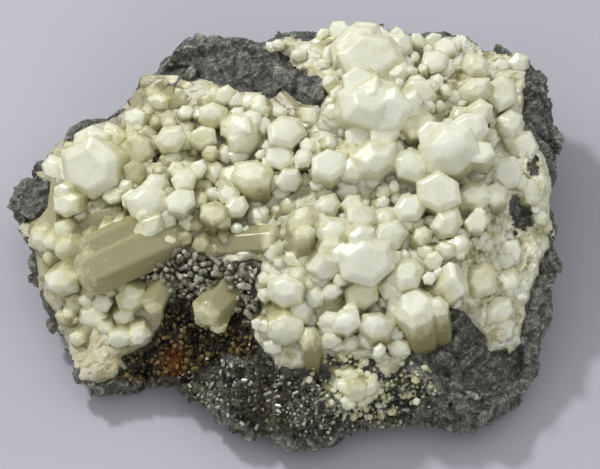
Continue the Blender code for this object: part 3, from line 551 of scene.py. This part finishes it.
RIGHT_SIDE = [
    (33.8, 38, 8.5, 9, 60, 25, 0, 0.75), (33.5, 44.8, 8, 7, 90, 20, 20), (31.8, 51, 3.6, 5, 90, 20, 0),
    (38.2, 53.5, 7, 8, 80, 20, 35), (48.8, 52.8, 7, 7, 60, 20, 10), (55.2, 45.8, 8.5, 7, 40, 20, 25),
    (48.2, 45.8, 8, 6, 60, 15, 0), (48.8, 39.8, 7, 7, 60, 15, 40), (57.8, 37.5, 7.5, 7, 20, 30, 15),
    (44, 39.2, 6, 7, 90, 20, 30, 0.6), (40.5, 57.5, 6, 6, 90, 40, 0), (30.2, 57.5, 7, 8, 30, 25, 20),
    (32.2, 27, 9, 8, 90, 15, 10), (38.2, 20.2, 9.5, 11, 90, 12, 0), (40.2, 11.2, 8, 10, 280, 12, 30),
    (46.8, 19.5, 8, 9, 90, 15, 20), (52.5, 19.5, 6, 8, 80, 20, 45), (47.8, 12.8, 5.5, 8, 60, 20, 0),
    (31, 16.5, 7.5, 9, 95, 15, 35), (34.5, 9.8, 5, 8, 60, 25, 10, 0.7), (38.5, 5, 5.5, 9, 200, 20, 25),
    (44.2, 7.5, 5.5, 7, 40, 25, 0), (44, -0.8, 8, 12, 35, 65, 20),
    (49.2, -1.2, 8.5, 6, 30, 20, 15, 0.7), (57.2, 5, 6.5, 4, 20, 25, 0), (63, 20, 6, 4, 20, 30, 30),
    (56.5, 24.8, 9, 5, 30, 20, 10), (61, 32.2, 8, 4, 20, 30, 40), (56.8, -3, 8, 4, 0, 20, 20),
    (54, -9.5, 8, 4, 340, 20, 0), (54.5, -14.5, 7, 3.5, 330, 20, 35),
]
ARAGONITE_CRYSTALS = [
    Crystal(*row)
    for rows in (LEFT_END, LOWER_LEFT, UPPER_LEFT, MIDDLE_TOP, GREAT_CRYSTALS, CENTRE, RIGHT_SIDE)
    for row in rows
]

# The shape of a crystal, in shares of its width unless it says otherwise.
SIDES = 6
FULLNESS = 1.1
FLATTENING = 0.86
NARROWING = 0.94
SIDE_JITTER = 0.15
CHAMFERS = (0.10, 0.27)
DOMED_SHARE = 0.35
DOME_HEIGHTS = (0.02, 0.06)
HEAD_TILT = 0.17
ROUNDED_EDGE = 0.028
FOOT_SLACK = 0.01

# How it is seated, in millimetres and degrees.
ROOT = 4.0
MOST_ROOT_LEAN = 60.0
DEEPEST_ROOT_SHARE = 0.6
SEAT_DEPTH = 0.5
RIM_SEARCH = (0.0, 1.5, 3.0, 5.0)

# The crystals grown beside it: how many, how far aside, how much lower and how wide.
LEAST_COMPOSITE_WIDTH = 5.5
GREAT_WIDTH = 10.0
BESIDE_MOST, BESIDE_GREAT = (0, 1, 2), 3
BESIDE_AWAY = (0.38, 0.55)
BESIDE_LOWER = (0.08, 0.4)
BESIDE_WIDTHS = (0.42, 0.7)

# The colour runs from a white head, over honey, to a tan root. Tan is a share from 0 to 1.
WHITEST, WHITE, HONEY, TAN_BODY, VEIL = "d3d5c5", "cacbb3", "b8b58b", "857f59", "e9e8dd"
CAP_LEAST, CAP_SHARE = 1.5, 0.75
MOST_TAN = 0.42
TAN_TO, TAN_TO_THE_LEFT = -14.0, 0.2
TAN_SPREAD = (0.8, 1.2)
PATTERN_REACH = 200.0

# Its patterns, in millimetres. Real striations are about 0.1 mm wide, too fine to show in the
# render, so they are drawn four times as coarse.
CLOUD_SIZE = 3.125
VEIL_SIZE = 0.909
STRIATION_WIDTH, STRIATION_LENGTH = 0.3846, 3.333
PIT_SIZE = 0.769
STRIATION_DEPTH, PIT_DEPTH = 0.25, 0.3
CRYSTAL_GLOW = 2.4


def aragonite_material():
    """Aragonite grown as clear to milky prisms: waxy to the eye and glowing a little inside, with
    chalky white heads that turn honey and tan towards the root, and fine grooves down the sides.
    Faces turned away from the line of sight carry a painted shade in honey for the darker see-through
    rims."""
    finish = {
        "Subsurface Weight": 0.8, "Subsurface Radius": GLOW_COLOURS,
        "Subsurface Scale": CRYSTAL_GLOW * MM, "Coat Weight": 0.4, "Coat Roughness": 0.07, "IOR": 1.6,
    }
    material, tree, shader = new_material("cream_aragonite", finish)
    shader.subsurface_method = "BURLEY"
    place = place_in_mm(tree)
    below = add_node(tree, "Attribute", "Fac", attribute_name="below")
    tip = add_node(tree, "MapRange", "Result", {"Value": below, "To Min": 1.0, "To Max": 0.0})
    tan = add_node(tree, "Attribute", "Fac", attribute_name="tan")
    local = add_node(tree, "Attribute", "Vector", attribute_name="local")
    clouds = add_node(
        tree, "TexNoise", "Fac",
        {"Vector": place, "Scale": 1 / CLOUD_SIZE, "Detail": 4.0, "Roughness": 0.6},
    )
    clouded = add_node(tree, "Math", 0, {0: clouds, 1: 1.1, 2: tip}, operation="MULTIPLY_ADD")
    white = add_node(tree, "Math", 0, {0: clouded, 1: -0.6}, operation="ADD")
    tanned = add_node(tree, "Math", 0, {0: tan, 1: -0.65, 2: white}, operation="MULTIPLY_ADD")
    colour = add_node(
        tree, "ValToRGB", "Color", {"Fac": tanned},
        stops=[(0.0, TAN_BODY), (0.30, HONEY), (0.66, WHITE), (1.0, WHITEST)],
    )
    veil = add_node(
        tree, "TexNoise", "Fac",
        {"Vector": place, "Scale": 1 / VEIL_SIZE, "Detail": 5.0, "Distortion": 0.6},
    )
    veil_share = add_node(
        tree, "MapRange", "Result", {"Value": veil, "From Min": 0.45, "From Max": 0.75, "To Max": 0.16}
    )
    head_veil = add_node(tree, "Math", 0, {0: veil_share, 1: tip}, operation="MULTIPLY")
    veiled = add_node(tree, "Mix", 2, {"Factor": head_veil, 6: colour, 7: srgb(VEIL)}, data_type="RGBA")
    # Painted shade: faces turned away from the line of sight are tinted honey, standing in for the
    # darker see-through rims of the heads.
    facing = add_node(tree, "TexCoord", "Normal")
    outward = add_node(tree, "VectorMath", "Value", {0: facing, 1: OUT}, operation="DOT_PRODUCT")
    rim_shade_share = add_node(
        tree, "MapRange", "Result",
        {"Value": outward, "From Min": 0.75, "From Max": 0.05, "To Max": 0.6},
    )
    rim_shaded = add_node(
        tree, "Mix", 2, {"Factor": rim_shade_share, 6: veiled, 7: srgb(HONEY)}, data_type="RGBA"
    )
    tree.links.new(rim_shaded, shader.inputs["Base Color"])
    rough = add_node(
        tree, "MapRange", "Result",
        {"Value": veil, "From Min": 0.3, "From Max": 0.7, "To Min": 0.12, "To Max": 0.28},
    )
    tree.links.new(rough, shader.inputs["Roughness"])
    grain = (1 / STRIATION_WIDTH, 1 / STRIATION_WIDTH, 1 / STRIATION_LENGTH)
    stretched = add_node(tree, "Mapping", 0, {"Vector": local, "Scale": grain})
    striations = add_node(
        tree, "TexNoise", "Fac", {"Vector": stretched, "Scale": 1.0, "Detail": 3.0, "Roughness": 0.55}
    )
    grooved = add_node(
        tree, "Bump", "Normal",
        {"Height": striations, "Strength": 0.45, "Distance": STRIATION_DEPTH * MM},
    )
    pits = add_node(
        tree, "TexNoise", "Fac",
        {"Vector": local, "Scale": 1 / PIT_SIZE, "Detail": 4.0, "Roughness": 0.6},
    )
    pitted = add_node(
        tree, "Bump", "Normal",
        {"Height": pits, "Strength": 0.2, "Distance": PIT_DEPTH * MM, "Normal": grooved},
    )
    tree.links.new(pitted, shader.inputs["Normal"])
    return material


class Growth:
    """Crystals gathered into one mesh, with what their shader reads at each point."""

    def __init__(self):
        self.points = []
        self.faces = []
        self.belows = []
        self.tans = []
        self.locals = []

    def add(self, shape, matrix, cap, tan, offset):
        """Adds one upright crystal, and frees its shape. Cap is how far its white head reaches down."""
        first = len(self.points)
        shape.verts.ensure_lookup_table()
        high = max(v.co.z for v in shape.verts)
        for vert in shape.verts:
            self.points.append((matrix @ vert.co) * MM)
            self.belows.append((high - vert.co.z) / cap)
            self.tans.append(tan)
            self.locals.append(vert.co + offset)
        self.faces.extend([first + v.index for v in face.verts] for face in shape.faces)
        shape.free()

    def mesh(self, name):
        """The mesh of all the crystals, each face flat."""
        mesh = bpy.data.meshes.new(name)
        mesh.from_pydata(self.points, [], self.faces)
        mesh.attributes.new("below", "FLOAT", "POINT").data.foreach_set("value", self.belows)
        mesh.attributes.new("tan", "FLOAT", "POINT").data.foreach_set("value", self.tans)
        flat = [c for place in self.locals for c in place]
        mesh.attributes.new("local", "FLOAT_VECTOR", "POINT").data.foreach_set("vector", flat)
        mesh.shade_flat()
        return mesh


def upright_crystal(width, depth, rng, domed):
    """A six-sided column with a bevelled head and softened edges, centred on the origin."""
    radius = width / 2 / math.cos(math.pi / SIDES)
    shape = bmesh.new()
    bmesh.ops.create_cone(
        shape, cap_ends=True, segments=SIDES, radius1=radius, radius2=radius * NARROWING, depth=depth
    )
    stretch = [1 + rng.uniform(-SIDE_JITTER, SIDE_JITTER) for _ in range(SIDES)]
    for vert in shape.verts:
        side = round(math.atan2(vert.co.y, vert.co.x) / (2 * math.pi) * SIDES) % SIDES
        vert.co.x *= stretch[side]
        vert.co.y *= stretch[side] * FLATTENING
    top_edges = [e for e in shape.edges if all(v.co.z > 0 for v in e.verts)]
    bmesh.ops.bevel(
        shape, geom=top_edges, offset=width * rng.uniform(*CHAMFERS), segments=1, affect="EDGES"
    )
    top = max(shape.faces, key=lambda f: f.calc_center_median().z)
    if domed:
        bmesh.ops.poke(shape, faces=[top], offset=width * rng.uniform(*DOME_HEIGHTS))
    tilt_across, tilt_up = rng.uniform(-HEAD_TILT, HEAD_TILT), rng.uniform(-HEAD_TILT, HEAD_TILT)
    for vert in shape.verts:
        if vert.co.z > 0:
            vert.co.z += vert.co.x * tilt_across + vert.co.y * tilt_up - HEAD_TILT / 2 * radius
    foot = -depth / 2 + FOOT_SLACK
    outer = [e for e in shape.edges if any(v.co.z > foot for v in e.verts)]
    bmesh.ops.bevel(
        shape, geom=outer, offset=width * ROUNDED_EDGE, segments=1, affect="EDGES", clamp_overlap=True
    )
    buried = [f for f in shape.faces if all(v.co.z < foot for v in f.verts)]
    bmesh.ops.delete(shape, geom=buried, context="FACES_ONLY")
    return shape


def axis_of(crystal):
    """The way a crystal points."""
    heading, lean = math.radians(crystal.heading), math.radians(crystal.lean)
    sideways = ACROSS * math.cos(heading) + UP * math.sin(heading)
    return (OUT * math.cos(lean) + sideways * math.sin(lean)).normalized()


def root_place(crystal, part=1.0):
    """The place (across, up) a part of the way from a crystal's head to where it leaves the rock."""
    heading = math.radians(crystal.heading)
    back = part * crystal.length * math.sin(math.radians(crystal.lean))
    return crystal.across - back * math.cos(heading), crystal.up - back * math.sin(heading)


def seat_of(crystal, tree):
    """Where a crystal's axis leaves the rock, so that its head is seen at its own place."""
    across, up = root_place(crystal)
    for drop in RIM_SEARCH:
        place, _ = ray_to_rock(across, up - drop, tree)
        if place is not None:
            return place
    raise ValueError(f"{crystal} stands beside the rock")


def grow_crystal(growth, crystal, tree=rock_tree):
    """The crystal as the CAD has it, with smaller parallel crystals grown onto a stout one."""
    rng = random.Random(f"{crystal.across} {crystal.up}")
    width = FULLNESS * crystal.width
    radius = width / 2 / math.cos(math.pi / SIDES)
    axis, seat = axis_of(crystal), seat_of(crystal, tree)
    root = ROOT + radius * math.tan(math.radians(min(crystal.lean, MOST_ROOT_LEAN)))
    _, _, _, rock_depth = tree.ray_cast((seat - OUT * SEAT_DEPTH) * MM, -axis)
    if rock_depth is not None:
        root = min(root, DEEPEST_ROOT_SHARE * rock_depth / MM)
    depth = crystal.length + root
    shape = upright_crystal(width, depth, rng, rng.random() < DOMED_SHARE)
    turn = axis.to_track_quat("Z", "Y").to_matrix().to_4x4()
    spin = Matrix.Rotation(math.radians(crystal.spin), 4, "Z")
    stand = Matrix.Translation(seat + axis * ((crystal.length - root) / 2)) @ turn @ spin
    tan = crystal.tan if crystal.tan is not None else rng.uniform(0.0, MOST_TAN)
    tan += TAN_TO_THE_LEFT if crystal.across < TAN_TO else 0.0
    offset = Vector([rng.uniform(0, PATTERN_REACH) for _ in range(3)])
    cap = CAP_LEAST + CAP_SHARE * width
    growth.add(shape, stand, cap, tan, offset)
    if crystal.width < LEAST_COMPOSITE_WIDTH:
        return
    for _ in range(rng.choice(BESIDE_MOST) if crystal.width < GREAT_WIDTH else BESIDE_GREAT):
        way = rng.uniform(0, 2 * math.pi)
        aside = Vector((math.cos(way), math.sin(way) * FLATTENING, 0)) * width
        aside *= rng.uniform(*BESIDE_AWAY)
        lower = width * rng.uniform(*BESIDE_LOWER)
        side_shape = upright_crystal(width * rng.uniform(*BESIDE_WIDTHS), depth, rng, False)
        beside = stand @ Matrix.Translation(aside - Vector((0, 0, lower)))
        growth.add(side_shape, beside, cap, tan * rng.uniform(*TAN_SPREAD), offset)


cream_aragonite = aragonite_material()
field_growth = Growth()
for crystal in ARAGONITE_CRYSTALS:
    grow_crystal(field_growth, crystal)
field = link_piece("aragonite_crystal_field", field_growth.mesh("field"), cream_aragonite)
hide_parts("aragonite_crystals")


# The small crystals between
# Crystals 2.5 to 5.5 mm across that never grew up, of the same aragonite. They crowd over the crust
# wherever the larger ones left room, and point about the same way as their neighbours.

SMALL_SPACING = 2.6
SMALL_TRIES = 4200
SMALL_WIDTHS = (2.6, 5.4)
SMALL_HEIGHTS, MASSIVE_HEIGHTS = (1.0, 4.2), (0.1, 1.4)
SMALL_BROWNS, LEFT_BROWNS = (0.0, 0.35), (0.3, 1.0)
HEADING_SPREAD = 55.0
LEAN_BASE, LEAN_SHARE, LEAN_SPREAD, MOST_LEAN = 14.0, 0.6, 14.0, 62.0
MASSIVE_FROM = 44.0
MASSIVE_SHARE = 0.22
MASSIVE_WIDENING = 1.2
STEEPEST_GROWN = 0.45
ROOM_SHARE = 0.4
ROOTED_INSIDE = 1.0
# A round place (across, up, radius) of the crust that has no crystals on it.
BARE_PLATE = (-46.0, -21.0, 6.0)


def bare_places(outline, count, spacing, taken, rng, inset=1.0):
    """Random places inside an outline, apart from each other and clear of what stands there."""
    low, high = np.min(outline, axis=0), np.max(outline, axis=0)
    tries = [[rng.uniform(low[0], high[0]), rng.uniform(low[1], high[1])] for _ in range(count)]
    tries = np.array(tries)
    kept = []
    for across, up in tries[depth_inside(tries, outline) > inset]:
        if any(math.hypot(across - a, up - u) < r for a, u, r in taken):
            continue
        if all(math.hypot(across - a, up - u) > spacing for a, u in kept):
            kept.append((across, up))
    return kept


def room_of(crystals, share):
    """The room that crystals take on the face, from head to seat: places (across, up, radius)."""
    parts = (0.0, 0.25, 0.5, 0.75)
    return [(*root_place(c, part), c.width * share) for c in crystals for part in parts]


def small_crystal_at(across, up, rng):
    """A small crystal that points about the same way as the nearest larger one."""
    near = min(ARAGONITE_CRYSTALS, key=lambda c: math.hypot(c.across - across, c.up - up))
    width = rng.uniform(*SMALL_WIDTHS)
    heading = near.heading + rng.gauss(0, HEADING_SPREAD)
    lean = abs(rng.gauss(LEAN_SHARE * near.lean + LEAN_BASE, LEAN_SPREAD))
    massive = across > MASSIVE_FROM
    height = rng.uniform(*(MASSIVE_HEIGHTS if massive else SMALL_HEIGHTS))
    spin = rng.uniform(0, 360 / SIDES)
    brown = rng.uniform(*(SMALL_BROWNS if across > TAN_TO else LEFT_BROWNS))
    width *= MASSIVE_WIDENING if massive else 1.0
    length = CRUST_THICKNESS + height
    return Crystal(across, up, width, length, heading, min(MOST_LEAN, lean), spin, brown)


small_rng = random.Random("between")
small_growth = Growth()
room_taken = [*room_of(ARAGONITE_CRYSTALS, ROOM_SHARE), BARE_PLATE]
for across, up in bare_places(ARAGONITE_OUTLINE, SMALL_TRIES, SMALL_SPACING, room_taken, small_rng):
    place, normal = ray_to_rock(across, up, rock_tree)
    if place is None or normal.dot(OUT) < STEEPEST_GROWN or in_bare_spot(place):
        continue
    crystal = small_crystal_at(across, up, small_rng)
    rooted = depth_inside(np.array([root_place(crystal)]), ARAGONITE_OUTLINE)[0] > ROOTED_INSIDE
    if rooted and (across < MASSIVE_FROM or small_rng.random() < MASSIVE_SHARE):
        grow_crystal(small_growth, crystal)
small = link_piece("aragonite_small_crystals", small_growth.mesh("small"), cream_aragonite)
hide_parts("aragonite_crystals")


# The crystal pair in the hollow
# Two tan columns of the same aragonite, one stout and one slim. They are rooted in the brown hollow
# and lie out over it, clear of the rest of the field.

HOLLOW_PAIR = [
    Crystal(-20.2, -11.5, 8, 11, 225, 50, 10, 0.8), Crystal(-16.5, -14.2, 4, 7, 250, 40, 0, 0.7),
]

pair_growth = Growth()
for crystal in HOLLOW_PAIR:
    grow_crystal(pair_growth, crystal)
pair = link_piece("hollow_crystal_pair_finish", pair_growth.mesh("pair"), cream_aragonite)
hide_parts("hollow_crystal_pair")


# The front crystal cluster
# A yellowish knob of stunted crystals low on the front of the rock, grown on a thin patch of crust
# of its own. Short stubs crowd round its five larger crystals.

FRONT_CLUSTER = [
    Crystal(16, -25.8, 4, 4, 250, 15, 0, 0.6), Crystal(18, -30, 7, 5, 270, 30, 20, 0.7),
    Crystal(14, -28.2, 3.2, 3.5, 200, 30, 10), Crystal(14.6, -32, 3, 3, 240, 30, 0),
    Crystal(21.4, -28.8, 4.6, 4, 290, 25, 30),
]

PATCH_STEP = 0.6
PATCH_THICKNESS, PATCH_RAMP = 1.3, 0.8
PATCH_LUMP_HEIGHT, PATCH_LUMP_SIZE = 0.5, 1.5
STUB_TRIES = 200
STUB_SPACING = 1.7
STUB_WIDTHS, STUB_LENGTH = (1.4, 2.6), 2.6
STUB_ROOM_SHARE = 0.35


def front_patch_height(place, normal, depth):
    """How far the front cluster's patch of crust stands off the rock."""
    lumps = PATCH_LUMP_HEIGHT * noise.noise(place / PATCH_LUMP_SIZE)
    return (PATCH_THICKNESS + lumps) * edge_ramp(depth, PATCH_RAMP)


patch_mesh = sheet_over_rock(FRONT_CLUSTER_OUTLINE, PATCH_STEP, front_patch_height)
front_crust = link_piece("front_cluster_crust", patch_mesh, crust_look)
front_rng = random.Random("front")
front_growth = Growth()
for crystal in FRONT_CLUSTER:
    grow_crystal(front_growth, crystal)
front_taken = room_of(FRONT_CLUSTER, STUB_ROOM_SHARE)
for across, up in bare_places(
    FRONT_CLUSTER_OUTLINE, STUB_TRIES, STUB_SPACING, front_taken, front_rng, inset=0.5
):
    lean, heading = front_rng.uniform(0, 40), front_rng.uniform(180, 360)
    width = front_rng.uniform(*STUB_WIDTHS)
    grow_crystal(front_growth, Crystal(across, up, width, STUB_LENGTH, heading, lean, 10, 0.6))
front = link_piece("front_cluster_finish", front_growth.mesh("front"), cream_aragonite)
for piece in (front_crust, front):
    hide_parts("front_crystal_cluster")


# The sparse crystals
# Cream crystals up to 2 mm across, strewn around the front cluster, where aragonite had only begun
# to grow on the bare rock.

SPARSE_OUTLINE = (
    (5, -21), (14, -19), (22, -22), (30, -21), (37, -23), (35, -31), (26, -36), (14, -35), (7, -29),
)
SPARSE_TRIES = 1500
SPARSE_SPACING = 1.1
SPARSE_SHARE = 0.75
SPARSE_LEAST, SPARSE_MORE = 0.7, 1.5
SPARSE_STUB, SPARSE_TALLNESS = 0.4, 0.5
SPARSE_ROOM_SHARE = 0.3

sparse_rng = random.Random("sparse")
sparse_growth = Growth()
sparse_taken = room_of(FRONT_CLUSTER, SPARSE_ROOM_SHARE)
for across, up in bare_places(
    SPARSE_OUTLINE, SPARSE_TRIES, SPARSE_SPACING, sparse_taken, sparse_rng, inset=0.0
):
    if sparse_rng.random() < SPARSE_SHARE:
        width = SPARSE_LEAST + SPARSE_MORE * sparse_rng.random() ** 3
        lean, heading = sparse_rng.uniform(0, 45), sparse_rng.uniform(0, 360)
        spin, brown = sparse_rng.uniform(0, 360 / SIDES), sparse_rng.uniform(0.5, 1.0)
        length = SPARSE_STUB + SPARSE_TALLNESS * width
        crystal = Crystal(across, up, width, length, heading, lean, spin, brown)
        grow_crystal(sparse_growth, crystal, rough_rock_tree)
sparse = link_piece("sparse_crystals", sparse_growth.mesh("sparse"), cream_aragonite)
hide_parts("front_crystal_cluster")


# The grey druse
# Glassy grey-brown crystals 1 to 2 mm across that line the hollow and sparkle. They stand on a bed
# of the same mineral, which has grown over the rock.

GRAIN_TRIES = 9000
GRAIN_TALLNESS, GRAIN_LIFT = (0.3, 1.6), 0.2
GRAIN_NARROWING, POINT_HEIGHTS = 0.85, (0.25, 0.8)
GREY_SPACING, GREY_WIDTHS = 0.95, (0.8, 1.9)
HOLLOW_ROOM_SHARE = 0.2
BED_STEP = 0.5
BED_THICKNESS, BED_RAMP = 0.8, 0.8
BED_CHIP_SIZE, BED_CHIP_TILT = 1.6, 0.5
BED_LUMP_SIZE, BED_LUMP_HEIGHT = 2.2, 0.35
DRUSE_PATCH = 4.0
DRUSE_GRAIN, DRUSE_RELIEF = 0.333, 0.1
DRUSE_GLOW = 0.8
RUST_CENTRE, _ = ray_to_rock(-27.0, -22.0, rock_tree)
RUST_REACH, RUST_FADE = 0.5, 6.0


def druse_material(name, dark, middle, bright, metal, roughness):
    """Tiny crystals grown as a coat, glassy or half metallic: each has its own tone between the dark
    and the bright colour, so the coat sparkles, and iron has stained it orange at one spot."""
    finish = {
        "Metallic": metal, "Roughness": roughness, "Subsurface Weight": 0.2 * (1 - metal),
        "Subsurface Radius": (1.0, 0.85, 0.6), "Subsurface Scale": DRUSE_GLOW * MM,
    }
    material, tree, shader = new_material(name, finish)
    place = place_in_mm(tree)
    tan = add_node(tree, "Attribute", "Fac", attribute_name="tan")
    patches = add_node(
        tree, "TexNoise", "Fac",
        {"Vector": place, "Scale": 1 / DRUSE_PATCH, "Detail": 5.0, "Roughness": 0.6},
    )
    tone = add_node(tree, "Math", 0, {0: patches, 1: 0.9, 2: tan}, operation="MULTIPLY_ADD")
    lowered = add_node(tree, "Math", 0, {0: tone, 1: -0.45}, operation="ADD")
    colour = add_node(
        tree, "ValToRGB", "Color", {"Fac": lowered}, stops=[(0.12, dark), (0.5, middle), (0.88, bright)]
    )
    rust = nearness(tree, place, RUST_CENTRE, RUST_REACH, RUST_FADE)
    rust_share = add_node(tree, "Math", 0, {0: rust, 1: patches}, operation="MULTIPLY")
    rusted = add_node(
        tree, "Mix", 2, {"Factor": rust_share, 6: colour, 7: srgb("9a5f22")}, data_type="RGBA"
    )
    tree.links.new(rusted, shader.inputs["Base Color"])
    fine = add_node(tree, "TexNoise", "Fac", {"Vector": place, "Scale": 1 / DRUSE_GRAIN, "Detail": 3.0})
    bump = add_node(
        tree, "Bump", "Normal", {"Height": fine, "Strength": 0.4, "Distance": DRUSE_RELIEF * MM}
    )
    tree.links.new(bump, shader.inputs["Normal"])
    return material


def bed_height(place, normal, depth):
    """How far a druse's bed stands off the rock."""
    chips = BED_CHIP_TILT * tilted_chips(place, BED_CHIP_SIZE)
    lumps = BED_LUMP_HEIGHT * noise.noise(place / BED_LUMP_SIZE)
    return (BED_THICKNESS + chips + lumps) * edge_ramp(depth, BED_RAMP)


def pointed_grain(width, depth, rng, sides):
    """A small crystal: a column of a few sides with a low point, centred on the origin."""
    shape = bmesh.new()
    radius = width / 2
    bmesh.ops.create_cone(
        shape, cap_ends=True, segments=sides, radius1=radius, radius2=radius * GRAIN_NARROWING,
        depth=depth,
    )
    top = max(shape.faces, key=lambda f: f.calc_center_median().z)
    bmesh.ops.poke(shape, faces=[top], offset=width * rng.uniform(*POINT_HEIGHTS))
    return shape


def strewn_grains(name, outline, spacing, widths, taken, sides, height, lean, tree):
    """A mesh of grains strewn over an outline, each on the rock and leaning its own way."""
    rng = random.Random(name)
    growth = Growth()
    for across, up in bare_places(outline, GRAIN_TRIES, spacing, taken, rng, inset=0.2):
        place, normal = ray_to_rock(across, up, tree)
        if place is None:
            continue
        width = rng.uniform(*widths)
        way = (OUT + normal + Vector([rng.gauss(0, lean) for _ in range(3)])).normalized()
        turn = way.to_track_quat("Z", "Y").to_matrix().to_4x4()
        spin = Matrix.Rotation(rng.uniform(0, math.pi), 4, "Z")
        depth = height + width * rng.uniform(*GRAIN_TALLNESS)
        stand = Matrix.Translation(place + OUT * GRAIN_LIFT + way * depth / 2) @ turn @ spin
        offset = Vector([rng.uniform(0, PATTERN_REACH) for _ in range(3)])
        growth.add(pointed_grain(width, depth, rng, sides), stand, depth, rng.random(), offset)
    return growth.mesh(name)


hollow_taken = room_of(HOLLOW_PAIR, HOLLOW_ROOM_SHARE)
grey_mesh = strewn_grains(
    "grey", GREY_DRUSE_OUTLINE, GREY_SPACING, GREY_WIDTHS, hollow_taken,
    sides=6, height=1.1, lean=0.75, tree=rock_tree,
)
grey_look = druse_material("grey_druse_crystals", "5b5a48", "8a8973", "bdbcab", 0.0, 0.12)
grey = link_piece("grey_druse_finish", grey_mesh, grey_look)
grey_bed_look = druse_material("grey_druse_bed", "2c2617", "5d5440", "8d8670", 0.0, 0.4)
grey_bed_mesh = sheet_over_rock(GREY_DRUSE_OUTLINE, BED_STEP, bed_height)
grey_bed = link_piece("grey_druse_bed", grey_bed_mesh, grey_bed_look)
for piece in (grey, grey_bed):
    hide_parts("grey_druse")


# The olive druse
# A dusting of glassy olive-grey grains, under a millimetre across, which the same growth left over
# the rough rock below the hollow.

OLIVE_OUTLINE = (
    (-27, -26), (-16, -21), (-4, -20), (1, -25), (14, -26), (24, -26), (36, -24), (38, -31),
    (30, -38), (16, -42), (2, -40), (-12, -37), (-22, -31),
)
OLIVE_SPACING, OLIVE_WIDTHS = 0.95, (0.4, 1.1)

olive_mesh = strewn_grains(
    "olive", OLIVE_OUTLINE, OLIVE_SPACING, OLIVE_WIDTHS, [],
    sides=5, height=0.2, lean=0.7, tree=rough_rock_tree,
)
olive_look = druse_material("olive_druse_grains", "26281c", "5c5e4a", "b3b4a0", 0.0, 0.1)
olive = link_piece("olive_druse", olive_mesh, olive_look)
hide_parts("grey_druse")


# The rusty druse
# Blocky grains under 2 mm, brown to olive gold and glittering, on a bed of the same. Iron has
# stained them orange at the lower left.

RUSTY_SPACING, RUSTY_WIDTHS = 0.85, (0.7, 1.6)

rusty_mesh = strewn_grains(
    "rusty", RUSTY_DRUSE_OUTLINE, RUSTY_SPACING, RUSTY_WIDTHS, hollow_taken,
    sides=4, height=0.5, lean=0.7, tree=rock_tree,
)
rusty_look = druse_material("rusty_druse_grains", "241e12", "51462d", "857550", 0.2, 0.28)
rusty = link_piece("rusty_druse_finish", rusty_mesh, rusty_look)
rusty_bed_look = druse_material("rusty_druse_bed", "1d170b", "43361c", "6d5a33", 0.1, 0.55)
rusty_bed_mesh = sheet_over_rock(RUSTY_DRUSE_OUTLINE, BED_STEP, bed_height)
rusty_bed = link_piece("rusty_druse_bed", rusty_bed_mesh, rusty_bed_look)
for piece in (rusty, rusty_bed):
    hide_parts("rusty_druse")


# The table, the light and the camera
# A plain matt board in pale lavender grey, one soft lamp high at the back left, and pale light from
# all round. The camera looks square onto the crystal face from far off, through a long lens.

TABLE_SIZE = 6.0
TABLE_MOTTLE = 167.0
PIXELS_PER_MM = 4.0
PICTURE_WIDTH = 600
CAMERA_AIM = (4.0, 9.4, 20.0)
LENS = 240.0
SENSOR = 36.0
FARTHEST_SEEN = 10.0
KEY_FROM = Vector((-0.58, 0.5, 1.0))
KEY_DISTANCE = 0.9
KEY_SIZE = 0.11
KEY_POWER = 4.6
FILL_STRENGTH = 0.92


def table_material():
    """Board with a smooth matt coat of paint: pale lavender grey, with the faintest mottling."""
    finish = {"Roughness": 0.8, "Specular IOR Level": 0.2}
    material, tree, shader = new_material("matt_painted_board", finish)
    place = place_in_mm(tree)
    clouds = add_node(
        tree, "TexNoise", "Fac", {"Vector": place, "Scale": 1 / TABLE_MOTTLE, "Detail": 2.0}
    )
    colour = add_node(
        tree, "ValToRGB", "Color", {"Fac": clouds}, stops=[(0.35, "a1a0a8"), (0.65, "abaab3")]
    )
    tree.links.new(colour, shader.inputs["Base Color"])
    return material


bpy.ops.mesh.primitive_plane_add(size=TABLE_SIZE)
table = bpy.context.object
table.name = "table"
table.data.materials.append(table_material())

lamp_data = bpy.data.lights.new("key", "AREA")
lamp_data.size = KEY_SIZE
lamp_data.energy = KEY_POWER
lamp = bpy.data.objects.new("key", lamp_data)
lamp.location = KEY_FROM.normalized() * KEY_DISTANCE
lamp.rotation_euler = KEY_FROM.to_track_quat("Z", "Y").to_euler()
bpy.context.scene.collection.objects.link(lamp)

world = bpy.data.worlds.new("pale_room")
world.use_nodes = True
sky = world.node_tree.nodes["Background"]
sky.inputs["Color"].default_value = srgb("f8f8f8")
sky.inputs["Strength"].default_value = FILL_STRENGTH
bpy.context.scene.world = world

camera_data = bpy.data.cameras.new("camera")
camera_data.lens = LENS
camera_data.sensor_width = SENSOR
camera_data.clip_end = FARTHEST_SEEN
camera = bpy.data.objects.new("camera", camera_data)
camera_distance = PICTURE_WIDTH / PIXELS_PER_MM * LENS / SENSOR
across, up, out = CAMERA_AIM
camera.location = (ACROSS * across + UP * up + OUT * (out + camera_distance)) * MM
camera.rotation_euler = OUT.to_track_quat("Z", "Y").to_euler()
bpy.context.scene.collection.objects.link(camera)
bpy.context.scene.camera = camera
bpy.context.scene.view_settings.view_transform = "Standard"
